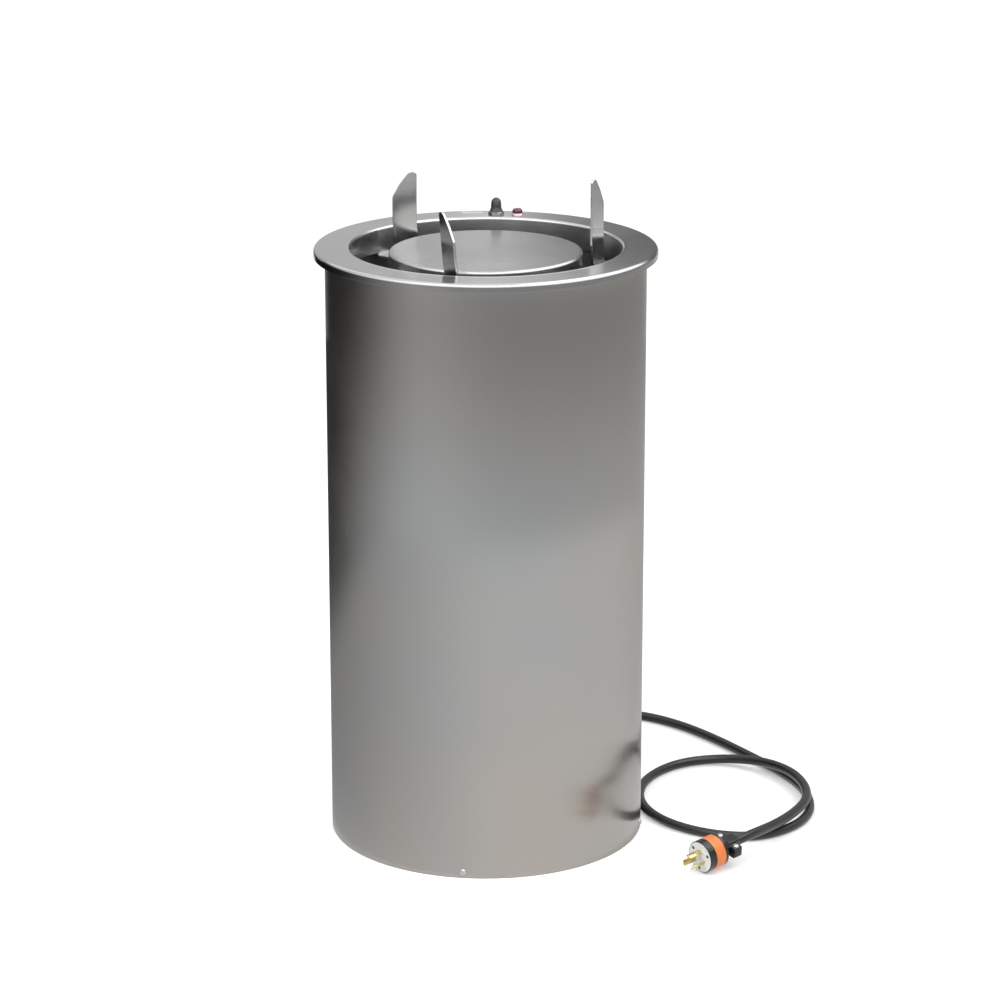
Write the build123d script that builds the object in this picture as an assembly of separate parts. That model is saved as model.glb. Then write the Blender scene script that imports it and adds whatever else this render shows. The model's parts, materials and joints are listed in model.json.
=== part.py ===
from build123d import *
import os
from math import acos, cos, degrees, pi, radians, sin, sqrt, tan

# A heated plate dispenser: a round insulated well with a sprung carrier that keeps the top plate level.
# Millimetres, +Z up. The origin is the centre of the base, and -Y is the front. Azimuths are in degrees
# anticlockwise from +X, seen from above. Each piece is written to its own file in parts/.

os.makedirs("parts", exist_ok=True)

# Cabinet sizes
shell_radius = 190.5
shell_wall = 1.0
flange_top = 726.0
flange_overhang = 13.3
flange_sheet = 1.5
lip_depth = 10.0
lip_round = 4.5
rim_step = 6.6
rim_round = 3.2
collar_depth = 30.0
seam_width = 14.0
seam_height = 0.8
seam_azimuth = 112.0
insulated_space = 17.5
liner_wall = 1.0
floor_height = 66.0
floor_sheet = 1.5
floor_overlap = 4.0
floor_turndown = 11.0
floor_round = 3.0
pan_sheet = 1.2
pan_flange = 20.0
pan_round = 3.0
pan_clearance = 0.2
pan_slots = 8
pan_slot_length = 36.0
pan_slot_width = 6.0
pan_slot_inset = 43.0
insulation_clearance = 6.5
harness_drop = 9.0
harness_radius = 3.0
fit_gap = 0.3
round_flats = 3
hidden_flats = 1
weld_gap = 0.05
hole_depth = 12.0
cable_groove = 9.0

# Base fastenings
screw_azimuth = -98.2
screw_count = 4
screw_height = 7.7
screw_head_radius = 3.75
screw_head_height = 2.2
screw_head_bevel = 1.0
screw_shank_radius = 1.9
screw_clearance = 0.1
screw_length = 8.0
post_radius = 8.0
post_wall = 2.0
post_inset = 28.0
post_count = 4

# Heating
element_inset = 17.0
element_rise = 18.0
element_tube = 4.0
element_bend = 12.0
element_open = 36.0
element_azimuth = -30.0
element_leg = 22.0
tube_sides = 8
terminal_radius = 1.6
terminal_length = 9.0
clip_length = 12.0
clip_clearance = 0.35
clip_wall = 3.0
clip_lug = 9.0
clip_sheet = 2.0
guard_gap = 6.0
guard_rise = 34.0
guard_sheet = 1.2
guard_hole = 18.0
guard_slots = 15
guard_slot_width = 7.0
guard_slot_inner = 44.0
guard_slot_margin = 16.0
guard_leg_width = 22.0
guard_leg_sheet = 2.0
guard_foot = 16.0
bumper_radius = 9.0
bumper_round = 2.0
bumper_inset = 17.0
bumper_height = 11.5

# Carrier and its lift
carrier_gap = 3.0
carrier_drop = 5.5
carrier_sheet = 1.5
carrier_round = 3.5
carrier_skirt = 19.0
group_azimuth = 78.5
spring_length = 129.0
spider_sheet = 3.0
spider_hole = 20.0
hub_radius = 52.0
arm_width = 36.0
arm_rib = 12.0
arm_rib_sheet = 2.5
yoke_before = 16.0
yoke_beyond = 15.0
yoke_margin = 11.0
yoke_corner = 4.0
column_radius = 32.0
column_wall = 2.0
column_flange = 47.0
column_flange_sheet = 2.0
rib_gap = 3.0
bolt_circle = 40.0
bolt_radius = 2.5
bolt_head_radius = 4.6
bolt_head_height = 3.2
bolt_beyond = 5.0
nut_thickness = 4.0
rod_inset = 21.2
rod_radius = 5.0
rod_end = 4.0
foot_flange = 17.0
foot_wall = 5.0
foot_sheet = 2.5
foot_height = 14.0
running_gap = 0.06
bush_radius = 9.0
bush_below = 22.0
bush_above = 35.0
bush_flange = 13.0
bush_flange_height = 3.0
hanger_drop = 6.0
hanger_sheet = 2.5
hanger_before = 13.0
hanger_leg = 22.0
hanger_corner = 6.0
spring_offset = 22.0
spring_coil_radius = 6.6
spring_wire_radius = 0.9
spring_hook = 9.0

# Plate guides
guide_azimuth = 18.5
guide_inset = 13.2
guide_turn = 42.0
guide_width = 30.0
guide_heel = 0.5
guide_thickness = 3.0
guide_edge = 0.6
guide_rise = 72.0
guide_lift = 2.0
guide_flat = 9.5
guide_slope = 31.0
guide_tip_round = 4.5
guide_shoulder_round = 8.0
guide_back_round = 12.0
guide_foot_round = 6.0
guide_rod_radius = 4.8
bracket_nose = 9.5
bracket_half_angle = 4.6
notch_gap = 3.5
socket_radius = 12.0
socket_height = 16.0
socket_flange = 7.0

# Switch and pilot light
switch_x = 12.0
lamp_x = 38.0
control_inset = 8.0
switch_width = 28.0
switch_depth = 13.0
switch_body_height = 22.0
switch_tab = 8.0
tab_width = 6.0
tab_sheet = 0.8
tab_pitch = 9.0
bushing_radius = 5.9
bushing_rise = 1.5
nut_across_flats = 17.0
nut_hex_height = 5.2
nut_height = 8.0
nut_top_radius = 8.4
boot_radius = 5.9
boot_height = 21.5
boot_clearance = 1.1
toggle_lean = 10.0
lens_radius = 6.35
lens_height = 8.0
lens_round = 3.2
bezel_radius = 7.7
bezel_height = 1.2
bezel_bevel = 0.4
lamp_body_radius = 5.9
lamp_body_height = 24.0
block_x = 5.0
block_y = 112.0
block_length = 64.0
block_width = 24.0
block_height = 12.0
block_rib_height = 20.0
block_rib_sheet = 2.0
block_ribs = 5
block_pitch = 14.0
thermostat_place = (-62.0, 30.0)
thermostat_length = 44.0
thermostat_width = 30.0
thermostat_height = 18.0
cutout_place = (52.0, 62.0)
cutout_radius = 8.5
cutout_rim = 12.0
cutout_height = 11.0

# Cord, gland and plug
cord_radius = 5.8
gland_azimuth = 80.0
gland_height = 36.0
gland_barrel_radius = 9.9
gland_hex = 26.0
gland_hex_length = 6.0
gland_cap_length = 12.0
gland_cap_radius = 9.4
gland_nut_length = 4.5
sleeve_wide = 9.0
sleeve_narrow = 7.1
sleeve_grooves = 4
sleeve_groove = 1.4
sleeve_reach = 39.5
plug_radius = 20.0
plug_face_x = 255.1
plug_face_y = -171.9
plug_azimuth = 39.0
plug_tilt = 6.0
plug_roll = 10.0
band_start = 10.0
band_end = 24.5
band_wall = 0.6
face_proud = 0.8
face_depth = 8.0
face_inset = 1.0
plug_shoulder = 28.0
plug_neck = 37.0
neck_radius = 13.0
tail_radius = 11.5
clamp_start = 44.0
clamp_end = 56.0
clamp_half_width = 19.0
clamp_half_height = 8.0
clamp_screw_inset = 5.0
clamp_round = 3.0
blade_circle = 8.7
blade_thickness = 1.6
blade_length = 20.0
blade_seat = 5.0
blade_arc = 50.0

# Worked out from the sizes above
shell_inner = shell_radius - shell_wall
flange_radius = shell_radius + flange_overhang
flange_under = flange_top - flange_sheet
liner_outer = shell_inner - insulated_space
liner_radius = liner_outer - liner_wall
collar_inner = liner_radius - rim_step - rim_round
collar_outer = collar_inner + flange_sheet
collar_low = flange_top - collar_depth
hanger_low = collar_low - hanger_drop
hanger_top = hanger_low + hanger_sheet
hanger_outer = collar_outer + hanger_sheet
insulation_top = flange_under - switch_body_height - switch_tab - insulation_clearance
floor_radius = liner_outer + floor_overlap
floor_under = floor_height - floor_sheet
post_circle = floor_radius - post_inset
guide_circle = collar_inner - guide_inset
guide_top = flange_top + guide_rise
guide_low = floor_height + socket_height + guide_lift
rod_circle = collar_inner - rod_inset
control_circle = shell_inner - control_inset
carrier_radius = guide_circle - guide_width - carrier_gap
carrier_top = flange_top - carrier_drop
carrier_under = carrier_top - carrier_sheet
spider_top = hanger_low - spring_length
spider_low = spider_top - spider_sheet
yoke_inner = rod_circle - yoke_before
yoke_outer = rod_circle + yoke_beyond
yoke_half_angle = degrees((spring_offset + yoke_margin) / rod_circle)
hanger_inner = rod_circle - hanger_before
guard_radius = guide_circle - guide_width - guard_gap
guard_height = floor_height + guard_rise
guard_top = guard_height + guard_sheet
bumper_circle = guard_radius - bumper_inset
bumper_top = guard_top + bumper_height
element_circle = guard_radius - element_inset
element_height = floor_height + element_rise
element_leg_low = floor_height - element_leg
gland_reach = shell_radius + sleeve_reach
group_azimuths = [group_azimuth + 120 * k for k in range(3)]
guide_azimuths = [guide_azimuth + 120 * k for k in range(3)]
screw_azimuths = [screw_azimuth + 360 / screw_count * k for k in range(screw_count)]

standing = (Align.CENTER, Align.CENTER, Align.MIN)
hanging = (Align.CENTER, Align.CENTER, Align.MAX)
reaching = (Align.MIN, Align.CENTER, Align.MIN)
backed = (Align.MAX, Align.CENTER, Align.MIN)


def save(name, *solids):
    """Writes the solids of one piece to its file."""
    kept = [solid for shape in solids for solid in shape.solids()]
    export_step(kept[0] if len(kept) == 1 else Compound(children=kept), f"parts/{name}.step")


def polar(radius, azimuth, z=0.0):
    """A point given by its distance from the axis and its azimuth."""
    return Vector(radius * cos(radians(azimuth)), radius * sin(radians(azimuth)), z)


def column(radius, low, high):
    """An upright cylinder on the axis between two heights."""
    return Pos(0, 0, low) * Cylinder(radius, high - low, align=standing)


def ring(outer, inner, low, high):
    """An upright tube on the axis between two heights."""
    return column(outer, low, high) - column(inner, low, high)


def sector(outer, inner, low, high, azimuth, half_angle):
    """The part of a ring within half_angle either side of an azimuth."""
    first, last = azimuth - half_angle, azimuth + half_angle
    outline = make_face([
        CenterArc((0, 0), outer, first, 2 * half_angle),
        Line(polar(inner, last), polar(outer, last)),
        CenterArc((0, 0), inner, first, 2 * half_angle),
        Line(polar(inner, first), polar(outer, first)),
    ])
    return Pos(0, 0, low) * extrude(outline, high - low)


def turned(corners, rounds=(), flats=round_flats):
    """A profile of (radius, height) corners, some rounded in a few flats, turned once round the axis."""
    rounded = dict(rounds)
    points = []
    for k, corner in enumerate(corners):
        here = Vector(*corner)
        radius = rounded.get(corner, 0)
        if not radius:
            points.append(here)
            continue
        back = (Vector(*corners[k - 1]) - here).normalized()
        on = (Vector(*corners[(k + 1) % len(corners)]) - here).normalized()
        half = radians(back.get_angle(on)) / 2
        centre = here + (back + on).normalized() * (radius / sin(half))
        start = here + back * (radius / tan(half)) - centre
        end = here + on * (radius / tan(half)) - centre
        sweep_angle = pi - 2 * half
        for step in range(flats + 1):
            part = step / flats * sweep_angle
            points.append(centre + (start * sin(sweep_angle - part) + end * sin(part)) / sin(sweep_angle))
    profile = make_face(Polyline(*points, close=True))
    return revolve(Plane.XZ * profile, Axis.Z)


def at(radius, azimuth, z=0.0):
    """The frame at a polar place, with its X axis pointing outwards."""
    return Rot(0, 0, azimuth) * Pos(radius, 0, z)


def outwards(radius, azimuth, z):
    """The frame at a polar place, with its Z axis pointing outwards and its X axis down."""
    return at(radius, azimuth, z) * Rot(0, 90, 0)


def top_flange():
    """The spun top: a flat rim with a turned-down lip outside and a collar down into the well."""
    lip = flange_radius - flange_sheet
    lip_low = flange_top - lip_depth
    corners = [(flange_radius, lip_low), (flange_radius, flange_top), (collar_inner, flange_top),
               (collar_inner, collar_low), (collar_outer, collar_low), (collar_outer, flange_under),
               (lip, flange_under), (lip, lip_low)]
    rounds = [((flange_radius, flange_top), lip_round), ((lip, flange_under), lip_round - flange_sheet),
              ((collar_inner, flange_top), rim_round),
              ((collar_outer, flange_under), rim_round - flange_sheet)]
    body = turned(corners, rounds)
    for x, radius in ((switch_x, bushing_radius), (lamp_x, lamp_body_radius)):
        body -= Pos(x, control_y(x), flange_top) * Cylinder(radius + screw_clearance, 4 * flange_sheet)
    return body


def control_y(x):
    """How far back a control stands on the flange, for its sideways place."""
    return sqrt(control_circle ** 2 - x ** 2)


def outer_shell():
    """The drum: one rolled sheet with a lapped seam at the back, holed for the cord and the base screws."""
    body = ring(shell_radius, shell_inner, 0, flange_under)
    half = degrees(seam_width / 2 / shell_radius)
    body += sector(shell_radius + seam_height, shell_inner, 0, flange_under - fit_gap, seam_azimuth, half)
    gland_hole = Cylinder(gland_barrel_radius + screw_clearance, hole_depth)
    body -= outwards(shell_radius, gland_azimuth, gland_height) * gland_hole
    for azimuth in screw_azimuths:
        body -= outwards(shell_radius, azimuth, screw_height) * screw_hole()
    return body


def screw_hole():
    """The cutter for a base screw's hole."""
    return Cylinder(screw_shank_radius + screw_clearance, hole_depth)


def bottom_pan():
    """The base: a pressed pan with its rim turned up inside the drum and a ring of air slots."""
    outer = shell_inner - pan_clearance
    inner = outer - pan_sheet
    corners = [(0, 0), (outer, 0), (outer, pan_flange), (inner, pan_flange), (inner, pan_sheet),
               (0, pan_sheet)]
    rounds = [((outer, 0), pan_round), ((inner, pan_sheet), pan_round - pan_sheet)]
    body = turned(corners, rounds, hidden_flats)
    for k in range(pan_slots):
        place = at(post_circle - pan_slot_inset, 360 / pan_slots * k, pan_sheet / 2)
        body -= place * Box(pan_slot_length, pan_slot_width, 3 * pan_sheet)
    for azimuth in screw_azimuths:
        body -= outwards(outer, azimuth, screw_height) * screw_hole()
    return body


def bottom_screws():
    """Pan-head screws that hold the base in the drum."""
    head = column(screw_head_radius, 0, screw_head_height)
    head = chamfer(head.edges().group_by(Axis.Z)[-1], screw_head_bevel)
    shank = Pos(0, 0, -screw_length) * Cylinder(screw_shank_radius, screw_length, align=standing)
    return [outwards(shell_radius, azimuth, screw_height) * (head + shank) for azimuth in screw_azimuths]


def well_floor():
    """The floor of the well, with its edge turned down and holes for the element's legs."""
    low = floor_height - floor_turndown
    inner = floor_radius - floor_sheet
    corners = [(0, floor_height), (floor_radius, floor_height), (floor_radius, low), (inner, low),
               (inner, floor_under), (0, floor_under)]
    rounds = [((floor_radius, floor_height), floor_round), ((inner, floor_under), floor_round - floor_sheet)]
    body = turned(corners, rounds, hidden_flats)
    for side in (-1, 1):
        leg = element_foot(side)
        body -= Pos(leg.X, leg.Y, floor_height) * Cylinder(element_tube + fit_gap, 4 * floor_sheet)
    return body


def support_posts():
    """Tubes that carry the well floor on the base pan."""
    post = ring(post_radius, post_radius - post_wall, pan_sheet, floor_under)
    return [at(post_circle, 360 / post_count * (k + 0.5)) * post for k in range(post_count)]


def insulation_blanket():
    """Glass fibre between the liner and the drum, with a groove for the harness."""
    body = ring(shell_inner - fit_gap, liner_outer + fit_gap, floor_height + fit_gap, insulation_top)
    groove = Box(cable_groove, shell_inner - floor_radius + floor_sheet + 0.5, insulation_top)
    return body - Pos(switch_x, harness_y(), insulation_top / 2) * groove


def harness_y():
    """How far back the harness climbs, in the middle of the insulated space beyond the well floor's edge."""
    return sqrt(((floor_radius + shell_inner) / 2) ** 2 - switch_x ** 2)


def element_foot(side):
    """Where one leg of the element goes down through the floor."""
    azimuth = element_azimuth + side * element_open / 2
    return polar(element_circle, azimuth) - polar(1, azimuth + 90) * (side * element_bend)


def heater_element():
    """A round sheathed element on one long arc, with both ends turned down to terminals."""
    up = Vector(0, 0, 1)
    legs = []
    for side in (1, -1):
        azimuth = element_azimuth + side * element_open / 2
        end = polar(element_circle, azimuth, element_height)
        along = polar(1, azimuth + 90) * side
        centre = end - up * element_bend
        turn = centre + (up - along) * (element_bend / sqrt(2))
        low = centre - along * element_bend
        foot = Vector(low.X, low.Y, element_leg_low)
        legs.append((foot, low, turn, end))
    (foot, low, turn, end), (foot_2, low_2, turn_2, end_2) = legs
    far = polar(element_circle, element_azimuth + 180, element_height)
    path = Wire([Line(foot, low), ThreePointArc(low, turn, end), ThreePointArc(end, far, end_2),
                 ThreePointArc(end_2, turn_2, low_2), Line(low_2, foot_2)])
    body = sweep(Plane(origin=foot, z_dir=up) * RegularPolygon(element_tube, tube_sides), path=path)
    for point in (foot, foot_2):
        pin = Pos(point.X, point.Y, element_leg_low - terminal_length)
        body += pin * Cylinder(terminal_radius, terminal_length + 1, align=standing)
    return body


def element_clips():
    """Saddles that hold the element above the well floor."""
    hole = element_tube + clip_clearance
    width = 2 * (hole + clip_wall)
    rise = element_height - floor_height
    outline = Pos(0, rise / 2) * Rectangle(width, rise) + Pos(0, rise) * Circle(width / 2)
    outline += Pos(0, clip_sheet / 2) * Rectangle(width + 2 * clip_lug, clip_sheet)
    outline -= Pos(0, rise) * Circle(hole)
    clip = extrude(Plane.XZ * outline, clip_length / 2, both=True)
    return [at(element_circle, element_azimuth + 90 * k, floor_height) * clip for k in (1, 2, 3)]


def element_guard():
    """A slotted plate on three legs that keeps broken china off the element."""
    body = ring(guard_radius, guard_hole, guard_height, guard_top)
    slot_outer = guard_radius - guard_slot_margin
    slot = Box(slot_outer - guard_slot_inner, guard_slot_width, 4 * guard_sheet)
    for k in range(guard_slots):
        azimuth = group_azimuth + 360 / guard_slots * (k + 0.5)
        body -= at((slot_outer + guard_slot_inner) / 2, azimuth, guard_height) * slot
    leg = Box(guard_leg_sheet, guard_leg_width, guard_rise, align=backed)
    foot = Box(guard_foot, guard_leg_width, guard_leg_sheet, align=backed)
    leg = Pos(guard_radius, 0, floor_height) * (leg + foot)
    cut = ring(guard_radius + guard_foot, guard_radius, 0, guard_top)
    for azimuth in guide_azimuths:
        body += Rot(0, 0, azimuth) * (leg - cut)
    return body


def bumpers():
    """Rubber stops on the guard, under the arms of the carrier."""
    stop = column(bumper_radius, guard_top, bumper_top)
    stop = chamfer(stop.edges().group_by(Axis.Z)[-1], bumper_round)
    return [at(bumper_circle, azimuth) * stop for azimuth in group_azimuths]


def carrier_disc():
    """The plate that the stack stands on: a spun pan, face up, with a rounded edge and a skirt."""
    low = carrier_top - carrier_skirt
    inner = carrier_radius - carrier_sheet
    corners = [(0, carrier_top), (carrier_radius, carrier_top), (carrier_radius, low), (inner, low),
               (inner, carrier_under), (0, carrier_under)]
    return turned(corners, [((carrier_radius, carrier_top), carrier_round),
                            ((inner, carrier_under), carrier_round - carrier_sheet)])


def carrier_column():
    """The tube that holds the disc above the spider, flanged at both ends."""
    body = ring(column_radius, column_radius - column_wall, spider_top, carrier_under)
    for low in (spider_top, carrier_under - column_flange_sheet):
        body += ring(column_flange, column_radius - column_wall, low, low + column_flange_sheet)
    for azimuth in bolt_azimuths():
        body -= at(bolt_circle, azimuth, spider_top) * bolt_hole()
    return body


def bolt_hole():
    """The cutter for a bolt's hole."""
    return Cylinder(bolt_radius + screw_clearance, hole_depth)


def bolt_azimuths():
    """Where the column is bolted to the spider, between its arms."""
    return [group_azimuth + 60 + 120 * k for k in range(3)]


def carrier_spider():
    """Three ribbed arms that end in yokes for the bushes and the lower ends of the springs."""
    body = column(hub_radius, spider_low, spider_top)
    rib_end = yoke_inner - 1
    for azimuth in group_azimuths:
        arm = Box(yoke_inner + 2 * yoke_corner, arm_width, spider_sheet, align=reaching)
        body += at(0, azimuth, spider_low) * arm
        yoke = sector(yoke_outer, yoke_inner, spider_low, spider_top, azimuth, yoke_half_angle)
        body += fillet(yoke.edges().filter_by(Axis.Z), yoke_corner)
    for azimuth in group_azimuths:
        start = column_flange + rib_gap
        rib = Box(rib_end - start, arm_rib_sheet, arm_rib, align=reaching)
        rib = Pos(start, 0, spider_top) * rib
        rib = chamfer(rib.edges().filter_by(Axis.Y).group_by(Axis.Z)[-1], arm_rib * 0.6)
        for side in (-1, 1):
            body += Rot(0, 0, azimuth) * Pos(0, side * (arm_width - arm_rib_sheet) / 2, 0) * rib
        body -= at(rod_circle, azimuth, spider_low) * Cylinder(bush_radius + weld_gap, 4 * spider_sheet)
    for azimuth in bolt_azimuths():
        body -= at(bolt_circle, azimuth, spider_low) * bolt_hole()
    return body - column(spider_hole, spider_low, spider_top)


def carrier_bolts():
    """Bolts with nuts that join the column to the spider."""
    hexagon = RegularPolygon(bolt_head_radius, 6)
    seat = spider_top + column_flange_sheet
    bolt = Pos(0, 0, spider_low) * extrude(hexagon, -bolt_head_height)
    bolt += column(bolt_radius, spider_low - 1, seat + bolt_beyond)
    bolt += Pos(0, 0, seat) * extrude(hexagon, nut_thickness)
    return [at(bolt_circle, azimuth) * bolt for azimuth in bolt_azimuths()]


def carrier_bushes():
    """Flanged nylon bushes that run on the rods."""
    body = column(bush_radius, spider_low - bush_below, spider_top + bush_above)
    body += column(bush_flange, spider_top, spider_top + bush_flange_height)
    body -= column(rod_radius + running_gap, spider_low - bush_below, spider_top + bush_above)
    return [at(rod_circle, azimuth) * body for azimuth in group_azimuths]


def slide_rods():
    """Polished rods that the carrier runs on, from the well floor up through the hangers."""
    rod = column(rod_radius, floor_height, hanger_top + rod_end)
    rod = chamfer(rod.edges().group_by(Axis.Z)[-1], 1.0)
    return [at(rod_circle, azimuth) * rod for azimuth in group_azimuths]


def rod_sockets():
    """Flanged rings that hold the feet of the rods."""
    body = column(rod_radius + foot_flange, floor_height, floor_height + foot_sheet)
    body += column(rod_radius + foot_wall, floor_height, floor_height + foot_height)
    body -= column(rod_radius + weld_gap, floor_height, floor_height + foot_height)
    return [at(rod_circle, azimuth) * body for azimuth in group_azimuths]


def spring_hangers():
    """Bent plates welded behind the collar, which hold the rods and the upper ends of the springs."""
    plates = []
    for azimuth in group_azimuths:
        body = sector(hanger_outer, hanger_inner, hanger_low, hanger_top, azimuth, yoke_half_angle)
        inward = polar(hanger_inner / 2, azimuth, hanger_low)
        body = fillet(body.edges().filter_by(Axis.Z).sort_by_distance(inward)[:2], hanger_corner)
        leg_top = hanger_low + hanger_leg
        body += sector(hanger_outer, collar_outer, hanger_low, leg_top, azimuth, yoke_half_angle)
        body -= at(rod_circle, azimuth, hanger_low) * Cylinder(rod_radius + weld_gap, 4 * hanger_sheet)
        plates.append(body)
    return plates


def spring_places(azimuth):
    """The axes of the two springs beside the rod at one azimuth."""
    across = polar(1, azimuth + 90)
    return [polar(rod_circle, azimuth) + across * (side * spring_offset) for side in (-1, 1)]


def lift_spring():
    """The space of one lift spring: a sleeve as thick as the wire, hooked to the yoke and the hanger."""
    coil_low, coil_high = spider_top + spring_hook, hanger_low - spring_hook
    outer = spring_coil_radius + spring_wire_radius
    body = ring(outer, spring_coil_radius - spring_wire_radius, coil_low, coil_high)
    ends = [(spider_top, coil_low + spring_wire_radius), (coil_high - spring_wire_radius, hanger_low)]
    for low, high in ends:
        hook = Box(2 * spring_coil_radius, 2 * spring_wire_radius, high - low, align=standing)
        body += Pos(0, 0, low) * hook
    return body


def guide_frame(azimuth):
    """The frame on a guide's pivot, with its X axis along the blade, towards the well's middle."""
    return at(guide_circle, azimuth) * Rot(0, 0, 180 + guide_turn)


def guide_blade():
    """A flat guide: straight towards the plates, its shoulder sloped outside, notched round its bracket."""
    shoulder = guide_width - guide_flat
    corners = [(guide_heel, guide_low), (guide_width, guide_low), (guide_width, guide_top),
               (shoulder, guide_top), (guide_heel, guide_top - guide_slope)]
    outline = make_face(Polyline(*corners, close=True))
    rounds = [((guide_width, guide_top), guide_tip_round), ((shoulder, guide_top), guide_shoulder_round),
              ((guide_heel, guide_top - guide_slope), guide_back_round),
              ((guide_width, guide_low), guide_foot_round)]
    for corner, radius in rounds:
        outline = fillet(outline.vertices().sort_by_distance(Vector(*corner))[0], radius)
    blade = extrude(Plane.XZ * outline, guide_thickness / 2, both=True)
    rims = blade.faces().sort_by(Axis.Y)
    blade = chamfer(rims[0].edges() + rims[-1].edges(), guide_edge)
    reach = bracket_nose + notch_gap
    low, high = hanger_low - notch_gap, hanger_top + notch_gap
    return blade - Pos(reach / 2, 0, (low + high) / 2) * Box(reach, 4 * guide_thickness, high - low)


def guide_rod():
    """The pivot rod that a blade is let into along its whole length, with a shoulder under the bracket."""
    rod = column(guide_rod_radius, floor_height + fit_gap, hanger_top + rod_end)
    slots = [(guide_low, hanger_low - notch_gap), (hanger_top + notch_gap, hanger_top + 2 * rod_end)]
    for low, high in slots:
        slot = Box(guide_width, guide_thickness, high - low, align=reaching)
        rod -= Pos(guide_heel, 0, low) * slot
    return rod


def guide_brackets():
    """Ears welded behind the collar that the guide rods turn in."""
    ears = []
    for azimuth in guide_azimuths:
        body = sector(hanger_outer, guide_circle, hanger_low, hanger_top, azimuth, bracket_half_angle)
        body += at(guide_circle, azimuth) * column(bracket_nose, hanger_low, hanger_top)
        leg_top = hanger_low + hanger_leg
        body += sector(hanger_outer, collar_outer, hanger_low, leg_top, azimuth, bracket_half_angle)
        body -= at(guide_circle, azimuth) * column(guide_rod_radius + running_gap, hanger_low, hanger_top)
        ears.append(body)
    return ears


def guide_sockets():
    """Flanged cups on the well floor that the feet of the guide rods turn in."""
    body = column(socket_radius + socket_flange, floor_height, floor_height + foot_sheet)
    body += column(socket_radius, floor_height, floor_height + socket_height)
    body -= column(guide_rod_radius + running_gap, floor_height, floor_height + socket_height)
    return [at(guide_circle, azimuth) * body for azimuth in guide_azimuths]


def switch_body():
    """The toggle switch under the flange, with its threaded bushing through it."""
    high = flange_under
    body = Pos(0, 0, high) * Box(switch_width, switch_depth, switch_body_height, align=hanging)
    body = chamfer(body.edges().filter_by(Axis.Z), 1.0)
    body += column(bushing_radius, high - 1, flange_top + bushing_rise)
    for x in (-tab_pitch, 0, tab_pitch):
        tab = Box(tab_width, tab_sheet, switch_tab, align=hanging)
        body += Pos(x, 0, high - switch_body_height) * tab
    return Pos(switch_x, control_y(switch_x), 0) * body


def boot_nut():
    """The hexagonal foot of the switch's boot, screwed down on the bushing."""
    body = extrude(RegularPolygon(nut_across_flats / 2, 6, major_radius=False), nut_hex_height)
    crown = Cone(nut_across_flats / 2, nut_top_radius, nut_height - nut_hex_height, align=standing)
    body += Pos(0, 0, nut_hex_height) * crown
    body -= column(bushing_radius + weld_gap, 0, bushing_rise)
    body -= column(boot_radius + boot_clearance, bushing_rise, nut_height)
    return Pos(switch_x, control_y(switch_x), flange_top) * body


def toggle_boot():
    """The rubber boot over the lever: a round-ended finger that tips about its lower centre."""
    length = boot_height - nut_height - boot_radius
    finger = Cylinder(boot_radius, length, align=standing) + Sphere(boot_radius)
    finger += Pos(0, 0, length) * Sphere(boot_radius)
    place = Pos(switch_x, control_y(switch_x), flange_top + nut_height)
    return place * Rot(-toggle_lean, 0, 0) * finger


def pilot_light():
    """The bezel with the lamp's body below the flange, and the lens above it."""
    bezel = column(bezel_radius, 0, bezel_height) - column(lens_radius, 0, bezel_height)
    bezel = chamfer(bezel.edges().group_by(Axis.Z)[-1], bezel_bevel)
    body = column(lamp_body_radius, -flange_sheet - lamp_body_height, 0)
    lens = column(lens_radius, 0, lens_height)
    lens = fillet(lens.edges().group_by(Axis.Z)[-1], lens_round)
    place = Pos(lamp_x, control_y(lamp_x), flange_top)
    return place * bezel, place * body, place * lens


def terminal_block():
    """The block on the base pan where the cord and the harness are joined."""
    body = Box(block_length, block_width, block_height, align=standing)
    rib = Box(block_rib_sheet, block_width, block_rib_height, align=standing)
    for k in range(block_ribs):
        body += Pos(block_pitch * (k - (block_ribs - 1) / 2), 0, 0) * rib
    return Pos(block_x, block_y, pan_sheet) * body


def thermostat():
    """The thermostat under the well floor, with its terminals."""
    body = Box(thermostat_length, thermostat_width, thermostat_height, align=hanging)
    body = chamfer(body.edges().filter_by(Axis.Z), 3.0)
    tab = Box(tab_width, tab_sheet, switch_tab, align=hanging)
    for x in (-tab_pitch, tab_pitch):
        body += Pos(x, 0, -thermostat_height) * tab
    return Pos(*thermostat_place, floor_under) * body


def high_limit():
    """The disc cut-out under the well floor."""
    body = column(cutout_rim, -2, 0) + column(cutout_radius, -cutout_height, 0)
    tab = Box(tab_sheet, tab_width, switch_tab, align=hanging)
    for x in (-tab_pitch / 2, tab_pitch / 2):
        body += Pos(x, 0, -cutout_height) * tab
    return Pos(*cutout_place, floor_under) * body


def wiring_harness():
    """Bundled leads from the block to the switch, and the leads from the gland to the block."""
    block_top = pan_sheet + block_height
    y = harness_y()
    z = floor_height - floor_turndown - harness_drop
    climb = FilletPolyline((switch_x, block_y, block_top), (switch_x, block_y, z), (switch_x, y, z),
                           (switch_x, y, insulation_top), radius=9)
    start = Plane(origin=(switch_x, block_y, block_top), z_dir=(0, 0, 1))
    harness = sweep(start * RegularPolygon(harness_radius, tube_sides), path=climb)
    inner = polar(shell_radius - 12, gland_azimuth, gland_height)
    near = polar(shell_radius - 46, gland_azimuth, gland_height)
    foot = (switch_x + 14, block_y, block_top)
    leads = FilletPolyline(inner, near, (foot[0], foot[1], block_top + 14), foot, radius=6)
    start = Plane(origin=inner, z_dir=near - inner)
    supply = sweep(start * RegularPolygon(harness_radius + 0.4, tube_sides), path=leads)
    return [harness, supply]


def gland_place():
    """The frame of the cord's gland: its Z axis along the cord, its origin on the drum."""
    return outwards(shell_radius, gland_azimuth, gland_height)


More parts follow.
